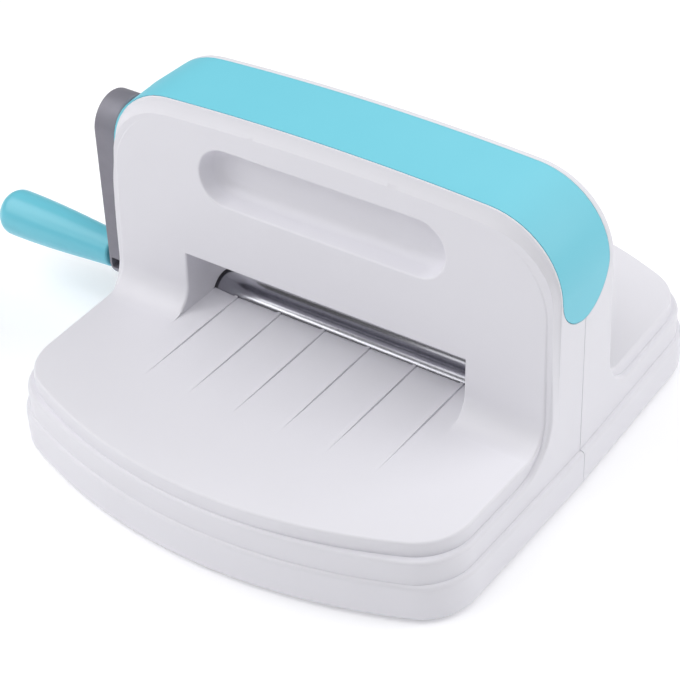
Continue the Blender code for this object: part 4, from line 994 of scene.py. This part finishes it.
    def rim_line(self, along: float, inset: float, sunk: float) -> list[Pair]:
        """Draw the slant's surface at a distance from the seam, from the crown's middle down one side.

        Its full depth lies under the crown, lessens round the corner and fades out towards the foot.

        Args:
            along: Distance from the seam.
            inset: Depth of the slant under the crown.
            sunk: How far the side is let in under the cover's edge.

        Returns:
            Pairs of distance from the middle and height.
        """
        half_width = self.side_half - self.taper_share * along
        top = self.tower_height - self.roof_share * along
        line = bowed_edge(half_width, top, self.crown_radius, self.tower_corner, FINE)
        shares = [1.0] * FINE.bow
        for step in range(FINE.corner + 1):
            shares.append(1 - (1 - self.rim_side_share) * eased(step / FINE.corner))
        level = line[-1][1]
        for step in range(1, RIM_STEPS + 1):
            line.append((half_width, level + (self.rim_foot - level) * step / RIM_STEPS))
            shares.append(self.rim_side_share * (1 - eased(step / RIM_STEPS)))
        points = []
        for index, ((across, height), share) in enumerate(zip(line, shares)):
            before = line[max(index - 1, 0)] if index else (-line[1][0], line[1][1])
            after = line[min(index + 1, len(line) - 1)]
            run, fall = after[0] - before[0], before[1] - after[1]
            size = math.hypot(run, fall)
            let_in = sunk * eased((height - self.sunk_foot) / self.sunk_fade)
            depth = inset * share
            points.append((across - depth * fall / size - let_in, height - depth * run / size))
        return points + [(half_width + MM, self.rim_foot - OVERRUN)]

    def rim_cutter(self) -> Piece:
        """Build what is pared off round the front of the tower, so that it slants from the cover's edge.

        Returns:
            The tool.
        """
        side = Side.FRONT
        start = self.cover_front + self.rim_land
        profile = [(start - MM, -self.rim_lift), (start, 0.0)]
        for step in range(1, 5):
            share = step / 4
            profile.append((start + self.rim_slant * share ** self.rim_curl, self.rim_drop * share))
        profile.append((start + self.rim_slant + MM, self.rim_drop + OVERRUN / 2))
        profile.append((self.front_face + 2 * OVERRUN, self.rim_drop + OVERRUN))
        rings = []
        for along, inset in profile:
            left = [(-across, height) for across, height in self.rim_line(along, inset, self.sunk)]
            outline = left[::-1][:-1] + self.rim_line(along, inset, 0.0)
            rings.append([(across, side.value * along, height) for across, height in outline])
        wide = (-self.skirt_half, self.skirt_half)
        along = span(side, self.cover_front + TOUCH_GAP / 2, self.front_face + OVERRUN)
        cutter = box("rim_cutter", wide, along, (self.rim_foot, self.tower_height + OVERRUN))
        return combined(cutter, Combine.CUT, skin("rim_envelope", rings))

    def skirt_solid(self, name: str, side: Side) -> Piece:
        """Build the low band round the base.

        Args:
            name: Name of the object.
            side: Half of the machine.

        Returns:
            The solid.
        """
        plan = bowed_edge(self.skirt_half, self.length(side), self.skirt_bow, self.base_corner, FINE)
        high = self.skirt_height
        sections = []
        for across in both_sides(plan):
            front = height_at(plan, across)
            ring = [(-OVERRUN, 0.0), (-OVERRUN, high), (0.0, high), (front, high), (front, 0.0), (0.0, 0.0)]
            sections.append(self.section(ring, across, side.value, self.skirt_half))
        return skin(name, sections, FLAT)

    def grip_surface(self, side: Side, level: float) -> float:
        """Return the distance of the tower's face from the seam at a height."""
        return self.face(side) - self.face_share * (level - self.slot_top)

    def grip_outline(self, grow: float, steps: int) -> list[Pair]:
        """Draw the grip recess, grown by a distance, with a number of chords in each round end."""
        reach = (self.grip_length - self.grip_height) / 2
        half = arc((reach, self.grip_level), self.grip_height / 2 + grow, -QUARTER, QUARTER, steps)
        return half + [(-across, level) for across, level in reversed(half)]

    def grip_tool(self, side: Side) -> Piece:
        """Build the scoop of the grip recess: a rounded mouth, drafted walls and a dished floor.

        Args:
            side: Half of the machine.

        Returns:
            The tool.
        """
        profile = [(self.grip_mouth_round, -OVERRUN), (self.grip_mouth_round, -WELD)]
        for sine, cosine in quarter_turn(6)[1:]:
            profile.append((self.grip_mouth_round * (1 - sine), self.grip_mouth_round * (1 - cosine)))
        for sine, cosine in quarter_turn(10):
            shrink = self.grip_draft + self.grip_floor_round * (1 - cosine)
            profile.append((-shrink, self.grip_depth - self.grip_floor_round * (1 - sine)))
        sections = []
        for grow, depth in profile:
            sections.append([
                (across, side.value * (self.grip_surface(side, level) - depth), level)
                for across, level in self.grip_outline(grow, GRIP_STEPS)
            ])
        return skin("grip_tool", sections)

    def slot_tool(self, side: Side) -> Piece:
        """Build the slot with its gently falling floor.

        Args:
            side: Half of the machine.

        Returns:
            The tool.
        """
        rise = self.floor_drop / self.floor_length
        far = self.floor_length + OVERRUN
        sign = side.value
        outline = [
            (sign * -OVERRUN, self.deck - self.floor_drop - rise * OVERRUN),
            (sign * far, self.deck + rise * OVERRUN),
            (sign * far, self.slot_top),
            (sign * -OVERRUN, self.slot_top),
        ]
        return prism("slot_tool", outline, -self.tunnel_half, self.tunnel_half, "YZ")

    def lip(self) -> float:
        """Return the distance of the deck's lip from the seam."""
        return math.sqrt(self.roller_way ** 2 - (self.deck - self.roller_levels[0]) ** 2)

    def deck_level(self, along: float) -> float:
        """Return the height of the deck or the slot's floor at a distance from the seam."""
        return self.deck - self.floor_drop * max(0.0, 1 - along / self.floor_length)

    def flank(self, across: float, away: int, along: float) -> list[Pair]:
        """Draw a rib's flank with its rounded top edge.

        Args:
            across: Place of the flank.
            away: Sign of the way from the channel into the rib.
            along: Distance from the seam.

        Returns:
            Points in X and Z, from the channel's floor to above the deck.
        """
        deck = self.deck_level(along)
        floor = self.channel_floor(along)
        high = max(deck, floor + LEAST_STEP)
        points = []
        for part in range(FLANK_STEPS + 1):
            share = 1 - (1 - part / FLANK_STEPS) ** 2
            level = floor + (high - floor) * share
            bite = min(max(level - deck + self.rib_round, 0.0), self.rib_round * NEARLY_ALL)
            grow = self.rib_round - math.sqrt(self.rib_round ** 2 - bite ** 2)
            points.append((across + away * grow, level))
        return points + [(points[-1][0], deck + self.wall)]

    def channel_floor(self, along: float) -> float:
        """Return the height of a channel's floor at a distance from the seam."""
        share = max(along - self.lip(), 0.0) / self.channel_length
        return self.deck - self.channel_depth * (1 - share ** self.channel_curl)

    def groove(self, across: float, along: float) -> list[Pair]:
        """Draw the fine groove along a rib's foot.

        Args:
            across: Place of the rib's flank.
            along: Distance from the seam.

        Returns:
            Points in X and Z, from the channel's floor to the groove's near wall.
        """
        floor = self.channel_floor(along)
        share = max(along - self.lip(), 0.0) / self.channel_length
        bed = floor - self.groove_depth * (1 - self.groove_fade * min(share, 1.0))
        far = across + self.groove_width
        bevel = self.groove_bevel_share * self.groove_width
        return [(far, floor), (far - bevel, bed), (across + bevel, bed)]

    def channel_tool(self, index: int, side: Side) -> Piece:
        """Build a shallow channel beside a rib, with the rib's edge rounded over.

        The outermost channels rise sideways to meet the slot's walls.

        Args:
            index: Number of the rib on the channel's left, from -1 for none.
            side: Half of the machine.

        Returns:
            The tool.
        """
        left = (index - (self.rib_count - 1) / 2) * self.rib_pitch + self.rib_width / 2
        right = left + self.rib_pitch - self.rib_width
        shore = self.tunnel_half - TOUCH_GAP / 2
        reach = self.lip() + self.channel_length
        sections = []
        for step in range(CHANNEL_STEPS + 1):
            along = -OVERRUN + (reach + 2 * OVERRUN) * step / CHANNEL_STEPS
            deck = self.deck_level(along)
            first = [(-shore, deck + LEAST_STEP), (-shore, deck + self.wall)]
            last = [(shore, deck + LEAST_STEP), (shore, deck + self.wall)]
            if index >= 0:
                first = self.groove(left, along) + self.flank(left, -1, along)
            if index < self.rib_count - 1:
                last = self.flank(right, 1, along)
            outline = first + list(reversed(last))
            sections.append([(across, side.value * along, level) for across, level in outline])
        return skin("channel_tool", sections)

    def tongue(self, grow: float) -> list[Pair]:
        """Draw the cover's side view: a band over the tower that ends in half circles.

        Args:
            grow: Distance to move the outline out.

        Returns:
            The outline in Y and Z.
        """
        radius = (self.cover_front + self.cover_rear) / 2
        centre = ((self.cover_rear - self.cover_front) / 2, self.cover_tip + radius)
        top = self.tower_height + OVERRUN
        tip = arc(centre, radius + grow, math.pi, 2 * math.pi, TONGUE_STEPS)
        return tip + [(centre[0] + radius + grow, top), (centre[0] - radius - grow, top)]

    def arch(self, name: str, inset: float) -> Piece:
        """Build the tower's outer arch over the cover's width.

        Args:
            name: Name of the object.
            inset: Distance to move its surface in.

        Returns:
            The solid.
        """
        half_width = self.side_half - inset
        reach = self.cover_rear + OVERRUN
        low = self.cover_tip - OVERRUN
        crown = bowed_edge(
            half_width, self.tower_height - inset, self.crown_radius, self.tower_corner - inset, FINE
        )
        sections = []
        for across in both_sides(crown):
            roof = height_at(crown, across)
            eaves = roof - self.roof_share * reach
            flank = [(reach, low), (reach, eaves)]
            rear = [(0.0, roof), *flank[::-1], (0.0, low)]
            front = self.section(flank, across, -1, half_width)
            sections.append(front + self.section(rear, across, 1, half_width))
        return skin(name, sections, FLAT)

    def hollow(self, side: Side) -> Piece:
        """Build the space inside a half, less the walls of the tunnel and the grip recess.

        Args:
            side: Half of the machine.

        Returns:
            The tool.
        """
        inner = self.side_layer(side).shrunk(self.wall, -OVERRUN, 2 * OVERRUN)
        space = self.layer_solid("hollow", inner, side, COARSE)
        deck = self.core_layer(side).shrunk(self.wall, -OVERRUN / 2, 1.5 * OVERRUN)
        combined(space, Combine.JOIN, self.layer_solid("hollow_deck", deck, side, COARSE))
        face = self.face(side)
        half = self.tunnel_half
        top = self.slot_top + self.wall
        along = span(side, -2 * OVERRUN, face + self.core_fillet + self.wall)
        tall = (self.deck - self.wall - OVERRUN, top)
        tunnel = box("tunnel", (-half - self.wall, half + self.wall), along, tall)
        along = span(side, -3 * OVERRUN, face - self.roof_length)
        tall = ((self.deck + self.slot_top) / 2, top + OVERRUN)
        combined(tunnel, Combine.CUT, box("tunnel_hollow", (-half, half), along, tall))
        surface = self.grip_surface(side, self.grip_level)
        reach = span(side, surface - self.grip_depth - self.wall, surface - self.wall / 2)
        grip = prism("grip_walls", self.grip_outline(self.wall, GRIP_STEPS // 2), *reach, "XZ")
        return combined(space, Combine.CUT, tunnel, grip)

    def seat(self) -> Piece:
        """Build the shallow recess that the cover lies in.

        Returns:
            The tool.
        """
        seat = self.arch("seat", -OVERRUN)
        reach = self.side_half + 2 * OVERRUN
        combined(seat, Combine.KEEP, prism("seat_outline", self.tongue(TOUCH_GAP), -reach, reach, "YZ"))
        return combined(seat, Combine.CUT, self.arch("seat_floor", self.cover_thickness + TOUCH_GAP))

    def on_mouth(self, side: Side) -> Callable[[Vector, Vector], bool]:
        """Return a test for the outward edges round the slot's mouth.

        Args:
            side: Half of the machine.

        Returns:
            The test.
        """
        near = self.edge_slack

        def chosen(middle: Vector, heading: Vector) -> bool:
            """Say whether an edge lies on the mouth."""
            along = side.value * middle.y
            if along < self.roof_length or along > self.floor_length:
                return False
            jamb = abs(abs(middle.x) - self.tunnel_half) < near and middle.z > self.deck + self.mouth_foot
            lintel = abs(middle.z - self.slot_top) < near and abs(middle.x) < self.tunnel_half + near
            if lintel and abs(heading.y) > MOSTLY:
                return False
            return (jamb and middle.z < self.slot_top + near) or lintel

        return chosen

    def on_seat(self, middle: Vector, heading: Vector) -> bool:
        """Say whether an outward edge lies round the cover's recess."""
        radius = (self.cover_front + self.cover_rear) / 2
        centre_y = (self.cover_rear - self.cover_front) / 2
        centre_z = self.cover_tip + radius
        if middle.z < self.cover_tip - MM:
            return False
        distance = math.hypot(middle.y - centre_y, min(middle.z - centre_z, 0.0))
        return abs(distance - radius - TOUCH_GAP) < self.edge_slack

    def on_seam(self, middle: Vector, heading: Vector) -> bool:
        """Say whether an outward edge lies on the outside of the seam."""
        outside = abs(middle.x) > self.side_half - 2 * MM
        return outside and abs(abs(middle.y) - self.seam_gap / 2) < LEAST_STEP and abs(heading.y) < 0.5

    def roller_ways(self) -> list[Piece]:
        """Build what makes room for the rollers, with a wider ring in each of the slot's walls.

        Returns:
            The tools.
        """
        reach = self.tunnel_half + self.wall + self.wall / 2
        wall = self.tunnel_half - 2 * LEAST_STEP
        ways = []
        for level in self.roller_levels:
            for name, radius, near, far in (
                ("roller_way", self.roller_way, -reach, reach),
                ("left_way", self.wall_way, -reach - MM, -wall),
                ("right_way", self.wall_way, wall, reach + MM),
            ):
                ways.append(rod_tool(name, radius, near, far, (0.0, level), WAY_STEPS))
        return ways

    def half(self, side: Side) -> Piece:
        """Build one half of the casing.

        Args:
            side: Half of the machine.

        Returns:
            The finished piece.
        """
        name = "front_shell" if side is Side.FRONT else "rear_shell"
        shell = bevelled(self.skirt_solid(name, side), self.skirt_round, FINE.edge)
        outer = self.layer_solid("side_layer", self.side_layer(side), side, FINE)
        bevelled(outer, self.side_round, FINE.edge)
        if side is Side.FRONT:
            combined(outer, Combine.CUT, self.rim_cutter())
        core = self.layer_solid("core_layer", self.core_layer(side), side, FINE)
        bevelled(core, self.core_round, FINE.edge)
        combined(shell, Combine.JOIN, outer)
        combined(shell, Combine.JOIN, core)
        wide = (-self.skirt_half - OVERRUN, self.skirt_half + OVERRUN)
        along = span(side, -4 * OVERRUN, self.seam_gap / 2)
        tall = (-2 * OVERRUN, self.tower_height + 2 * OVERRUN)
        combined(shell, Combine.CUT, box("seam", wide, along, tall))
        combined(shell, Combine.CUT, self.hollow(side))
        combined(shell, Combine.CUT, self.slot_tool(side))
        channels = [self.channel_tool(index, side) for index in range(-1, self.rib_count)]
        combined(shell, Combine.CUT, *channels)
        combined(shell, Combine.CUT, self.grip_tool(side))
        combined(shell, Combine.CUT, *self.roller_ways())
        combined(shell, Combine.CUT, self.seat())
        near = -self.side_half - OVERRUN
        far = -self.side_half + self.wall + OVERRUN
        hole = rod_tool("shaft_hole", self.shaft_hole, near, far, (0.0, self.crank_level))
        combined(shell, Combine.CUT, hole)
        rounded_where(shell, self.mouth_round, 3, self.on_mouth(side))
        rounded_where(shell, self.edge_break, 2, self.on_seat)
        rounded_where(shell, self.edge_break, 2, self.on_seam)
        node = "front_housing" if side is Side.FRONT else "rear_housing"
        return dressed(shell, Finish.WHITE, "machine", node)

    def build(self) -> list[Piece]:
        """Build both halves of the casing."""
        return [self.half(side) for side in Side]


@dataclass(frozen=True)
class TopCover:
    """The teal cover: a saddle over the tower with a round tongue down each side."""

    casing: Casing
    edge_round: float = 0.45 * MM

    def build(self) -> Piece:
        """Build the cover.

        Returns:
            The finished piece.
        """
        casing = self.casing
        cover = casing.arch("cover_shell", 0.0)
        reach = casing.skirt_half
        combined(cover, Combine.KEEP, prism("cover_outline", casing.tongue(0.0), -reach, reach, "YZ"))
        combined(cover, Combine.CUT, casing.arch("cover_underside", casing.cover_thickness))
        near = -casing.side_half - OVERRUN
        far = near + 3 * OVERRUN
        hole = rod_tool("cover_hole", casing.shaft_hole, near, far, (0.0, casing.crank_level))
        combined(cover, Combine.CUT, hole)
        bevelled(cover, self.edge_round, 3)
        return dressed(cover, Finish.TEAL, "machine", "top_cover")


@dataclass(frozen=True)
class Crank:
    """The cranked arm with its hub screw, and the knob that turns on it."""

    level: float = 117.0 * MM
    arm_near: float = 128.9 * MM
    arm_thickness: float = 14.0 * MM
    hub_radius: float = 15.6 * MM
    end_radius: float = 10.5 * MM
    lean: float = 6.0 * MM
    drop: float = 78.3 * MM
    arm_round: float = 1.3 * MM
    shaft_bore: float = 5.08 * MM
    well_depth: float = 3.6 * MM
    well_radius: float = 6.3 * MM
    axle_bore: float = 3.28 * MM
    window_width: float = 10.0 * MM
    window_height: float = 7.0 * MM
    window_reach: float = 6.0 * MM
    window_round: float = 0.8 * MM
    screw_radius: float = 6.0 * MM
    screw_shank: float = 2.5 * MM
    screw_height: float = 3.0 * MM
    screw_length: float = 9.0 * MM
    screw_rim_share: float = 0.35
    screw_flat_share: float = 0.55
    recess: Pair = (0.6 * MM, 2.6 * MM)
    recess_depth: float = 1.6 * MM
    knob_gap: float = 3.0 * MM
    knob_root: float = 9.3 * MM
    knob_bulge: float = 12.65 * MM
    knob_length: float = 67.3 * MM
    knob_dome: float = 9.4 * MM
    knob_bore_end: float = 14.8 * MM
    knob_edge: float = 1.5 * MM
    swell_curl: float = 1.15
    dome_curl: float = 0.92

    def arm(self) -> Piece:
        """Build the arm: two unlike round ends joined by their tangents, with a window at the knob.

        Returns:
            The finished piece.
        """
        reach = math.hypot(self.lean, self.drop)
        heading = math.atan2(-self.drop, -self.lean)
        spread = math.acos((self.hub_radius - self.end_radius) / reach)
        end_centre = (-self.lean, self.level - self.drop)
        hub = (0.0, self.level)
        outline = arc(hub, self.hub_radius, heading + spread, heading + 2 * math.pi - spread, ARM_STEPS[0])
        outline += arc(end_centre, self.end_radius, heading - spread, heading + spread, ARM_STEPS[1])
        far = self.arm_near + self.arm_thickness
        arm = bevelled(prism("crank_arm_casting", outline, -far, -self.arm_near, "YZ"), self.arm_round, 4)
        start, end = -far - OVERRUN, -self.arm_near + OVERRUN
        for name, radius, reach, centre in (
            ("bore", self.shaft_bore, end, hub), ("well", self.well_radius, self.well_depth - far, hub),
            ("pin", self.axle_bore, end, end_centre),
        ):
            combined(arm, Combine.CUT, rod_tool(name, radius, start, reach, centre))
        middle = self.arm_near + self.arm_thickness / 2
        wide = (-middle - self.window_width / 2, -middle + self.window_width / 2)
        along = (-self.lean - self.end_radius - OVERRUN, -self.lean + self.window_reach)
        half = self.window_height / 2
        tall = (end_centre[1] - half + self.window_round, end_centre[1] + half)
        window = bevelled(box("window", wide, along, tall), self.window_round, 3)
        return dressed(combined(arm, Combine.CUT, window), Finish.CASTING, "crank", "crank_arm")

    def screw(self) -> Piece:
        """Build the hub's pan head screw with its cross recess.

        Returns:
            The finished piece.
        """
        seat = -(self.arm_near + self.arm_thickness - self.well_depth + TOUCH_GAP)
        profile = [(0.0, seat + self.screw_length), (self.screw_shank, seat + self.screw_length)]
        profile += [(self.screw_shank, seat), (self.screw_radius, seat)]
        rim, flat = self.screw_rim_share, self.screw_flat_share
        for sine, cosine in quarter_turn(8):
            lift = self.screw_height * (rim + (1 - rim) * sine)
            profile.append((self.screw_radius * (flat + (1 - flat) * cosine), seat - lift))
        crest = seat - self.screw_height
        profile.append((0.0, crest))
        screw = turned("crank_hub_screw", profile, (0.0, 0.0, self.level), "X", ROUND_STEPS)
        deep = (crest - MM, crest + self.recess_depth)
        slots = []
        for wide, tall in (self.recess, self.recess[::-1]):
            slots.append(box("recess", deep, (-wide, wide), (self.level - tall, self.level + tall)))
        combined(screw, Combine.CUT, *slots)
        return dressed(screw, Finish.ZINC, "crank", "crank_screw")

    def knob(self) -> Piece:
        """Build the knob: a swelling grip with a domed end and a bore for its axle.

        Returns:
            The finished piece.
        """
        root = -(self.arm_near + self.arm_thickness + self.knob_gap)
        swell = root - self.knob_length
        end = swell - self.knob_dome
        floor = end + self.knob_bore_end - TOUCH_GAP
        profile = [(0.0, floor), (self.axle_bore, floor), (self.axle_bore, root)]
        edge = self.knob_edge
        for sine, cosine in quarter_turn(6):
            profile.append((self.knob_root - edge * (1 - sine), root - edge * (1 - cosine)))
        for step, (sine, _) in list(enumerate(quarter_turn(24)))[1:]:
            grown = self.knob_root + (self.knob_bulge - self.knob_root) * sine ** self.swell_curl
            profile.append((grown, root - edge - (self.knob_length - edge) * step / 24))
        for sine, cosine in quarter_turn(16)[1:-1]:
            profile.append((self.knob_bulge * cosine ** self.dome_curl, swell - self.knob_dome * sine))
        profile.append((0.0, end))
        knob = turned("knob_grip", profile, (0.0, -self.lean, self.level - self.drop), "X", KNOB_STEPS)
        return dressed(knob, Finish.GRIP, "knob", "crank_knob", steady=False)

    def build(self) -> list[Piece]:
        """Build the arm, its screw and the knob."""
        return [self.arm(), self.screw(), self.knob()]


@dataclass(frozen=True)
class RollerPair:
    """The two ground steel rollers that draw the plates through."""

    radius: float = 9.0 * MM
    journal: float = 5.0 * MM
    half: float = 84.2 * MM
    chamfer: float = 0.8 * MM
    journal_chamfer: float = 0.4 * MM
    right_end: float = 93.0 * MM
    lower_left_end: float = 99.0 * MM
    upper_left_end: float = 108.5 * MM
    lower_level: float = 36.0 * MM
    upper_level: float = 69.0 * MM

    def roller(self, node: str, level: float, left_end: float) -> Piece:
        """Build one roller with its journals.

        Args:
            node: CAD node that it stands for, which also gives the names of the piece and its body.
            level: Height of its axis.
            left_end: Reach of its left journal.

        Returns:
            The finished piece.
        """
        bevel = self.journal_chamfer
        barrel = []
        for sine, cosine in quarter_turn(4):
            barrel.append((self.radius - self.chamfer * (1 - sine), self.half - self.chamfer * (1 - cosine)))
        profile = [(0.0, self.right_end), (self.journal - bevel, self.right_end)]
        profile += [(self.journal, self.right_end - bevel), (self.journal, self.half)]
        profile += barrel + [(radius, -along) for radius, along in reversed(barrel)]
        profile += [(self.journal, -self.half), (self.journal, bevel - left_end)]
        profile += [(self.journal - bevel, -left_end), (0.0, -left_end)]
        roller = turned(node.replace("_", "_feed_"), profile, (0.0, 0.0, level), "X", WAY_STEPS)
        return dressed(roller, Finish.STEEL, f"{node}_set", node, steady=False)

    def build(self) -> list[Piece]:
        """Build both rollers."""
        return [
            self.roller("lower_roller", self.lower_level, self.lower_left_end),
            self.roller("upper_roller", self.upper_level, self.upper_left_end),
        ]


@dataclass(frozen=True)
class Underside:
    """The rubber feet under the base plate."""

    foot_radius: float = 9.0 * MM
    peg_radius: float = 3.0 * MM
    peg_top: float = 5.0 * MM
    top: float = 0.2 * MM
    low: float = -2.0 * MM
    edge: float = 0.7 * MM
    rim_width: float = 2.0 * MM
    dish: float = 0.6 * MM

    def foot(self, number: int) -> Piece:
        """Build one foot round the place of its CAD node.

        Args:
            number: Number of the foot.

        Returns:
            The finished piece.
        """
        node = f"foot_{number}"
        near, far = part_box(node)
        centre = (near + far) / 2 - Vector(ORIGIN)
        profile = [(0.0, self.peg_top), (self.peg_radius, self.peg_top), (self.peg_radius, self.top)]
        profile.append((self.foot_radius, self.top))
        for sine, cosine in quarter_turn(6):
            profile.append((self.foot_radius - self.edge * (1 - cosine), self.low + self.edge * (1 - sine)))
        rim = self.foot_radius - self.rim_width
        floor = self.low + self.dish
        profile += [(rim, self.low), (rim - self.dish, floor), (0.0, floor)]
        foot = turned(f"rubber_foot_{number}", profile, (centre.x, centre.y, 0.0), "Z", FOOT_STEPS)
        return dressed(foot, Finish.RUBBER, "machine", node)

    def build(self) -> list[Piece]:
        """Build the four feet."""
        return [self.foot(number) for number in range(1, 5)]


@dataclass(frozen=True)
class Mechanism:
    """The steel frame, the gear train and the fasteners, whose CAD solids stay in view."""

    frame: dict[str, Any]

    def build(self) -> None:
        """Give every CAD node that stays its own finish, found by the record's material slot."""
        by_slot = {finish.value.name: finish for finish in reversed(Finish)}
        for row in self.frame["record"]["subparts"]:
            node = self.frame["nodes"][row["node"]]
            if node.hide_render:
                continue
            finish = by_slot[row["material_slot"]]
            node.data.materials.clear()
            node.data.materials.append(finish.material())
            LOG.info("%s keeps its CAD solid", node.name)


@dataclass(frozen=True)
class Panel:
    """A soft light panel, placed by where it hangs as seen from the machine.

    The bearing is 0 at the front and grows towards the crank's far side. Angles are in degrees.
    """

    name: str
    bearing: float
    elevation: float
    size: Pair
    power: float
    distance: float = 1.6

    def hang(self, target: Vector) -> None:
        """Hang the panel so that it faces the machine.

        Args:
            target: Point that the panel faces.
        """
        bearing = math.radians(self.bearing)
        rise = math.radians(self.elevation)
        heading = Vector((
            math.sin(bearing) * math.cos(rise), -math.cos(bearing) * math.cos(rise), math.sin(rise)
        ))
        data = bpy.data.lights.new(self.name, "AREA")
        data.shape = "RECTANGLE"
        data.size, data.size_y = self.size
        data.energy = self.power
        light = bpy.data.objects.new(self.name, data)
        turn = heading.to_track_quat("Z", "Y").to_matrix().to_4x4()
        light.matrix_world = Matrix.Translation(target + heading * self.distance) @ turn
        bpy.context.scene.collection.objects.link(light)


@dataclass(frozen=True)
class Studio:
    """A pale sweep, soft lights from above and both sides, and the photograph's point of view."""

    target: Point = (39.07 * MM, -1.5 * MM, 32.41 * MM)
    azimuth: float = math.radians(36.11)
    elevation: float = math.radians(37.28)
    roll: float = math.radians(-2.67)
    distance: float = 1010.48 * MM
    lens: float = 108.13
    sensor: float = 36.0
    sight: float = 20.0
    floor_reach: float = 4.0
    floor_thickness: float = 20.0 * MM
    air: float = 0.15
    glow: float = 0.2
    panels: tuple[Panel, ...] = (
        Panel("overhead", 0.0, 88.0, (1.6, 1.4), 2.8),
        Panel("key_left", -70.0, 45.0, (1.1, 0.9), 8.5),
        Panel("front_high", 0.0, 60.0, (1.2, 0.8), 6.5),
        Panel("front_low", -34.0, 26.0, (1.2, 0.22), 3.0),
        Panel("rim_right", 125.0, 30.0, (1.0, 1.0), 9.1),
        Panel("right_high", 120.0, 62.0, (1.0, 1.0), 2.6),
        Panel("rear", 180.0, 40.0, (1.2, 0.8), 4.5),
    )

    def camera(self) -> None:
        """Place the camera at the photograph's viewing angle."""
        back = Vector((
            math.sin(self.azimuth) * math.cos(self.elevation),
            -math.cos(self.azimuth) * math.cos(self.elevation),
            math.sin(self.elevation),
        ))
        right = Vector((math.cos(self.azimuth), math.sin(self.azimuth), 0.0))
        up = back.cross(right)
        across = right * math.cos(self.roll) + up * math.sin(self.roll)
        upward = up * math.cos(self.roll) - right * math.sin(self.roll)
        data = bpy.data.cameras.new("camera")
        data.lens = self.lens
        data.sensor_width = self.sensor
        data.clip_end = self.sight
        camera = bpy.data.objects.new("camera", data)
        turn = Matrix((across, upward, back)).transposed().to_4x4()
        camera.matrix_world = Matrix.Translation(Vector(self.target) + back * self.distance) @ turn
        bpy.context.scene.collection.objects.link(camera)
        bpy.context.scene.camera = camera

    def floor(self) -> None:
        """Lay the pale sweep that the machine stands on."""
        reach = self.floor_reach
        floor = box("floor", (-reach, reach), (-reach, reach), (-self.floor_thickness, 0.0))
        surface = Surface("pale_sweep")
        surface.fix(Roughness=0.9)
        surface.shader.inputs["Base Color"].default_value = linear_colour("#F4F4F6")
        surface.shader.inputs["Emission Color"].default_value = WHITE_LIGHT
        surface.shader.inputs["Emission Strength"].default_value = self.glow
        floor.data.materials.append(surface.material)

    def build(self) -> None:
        """Set up camera, floor and lights."""
        self.camera()
        self.floor()
        world = bpy.data.worlds.new("studio_air")
        world.use_nodes = True
        air = world.node_tree.nodes["Background"]
        air.inputs["Color"].default_value = WHITE_LIGHT
        air.inputs["Strength"].default_value = self.air
        bpy.context.scene.world = world
        for panel in self.panels:
            panel.hang(Vector(self.target))
        bpy.context.scene.view_settings.view_transform = "Standard"


def main() -> None:
    """Build the studio and every sub-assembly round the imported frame."""
    logging.basicConfig(level=logging.INFO, format="%(message)s")
    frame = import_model()
    Studio().build()
    casing = Casing()
    casing.build()
    TopCover(casing).build()
    Crank().build()
    RollerPair().build()
    Underside().build()
    Mechanism(frame).build()


if __name__ == "__main__":
    main()
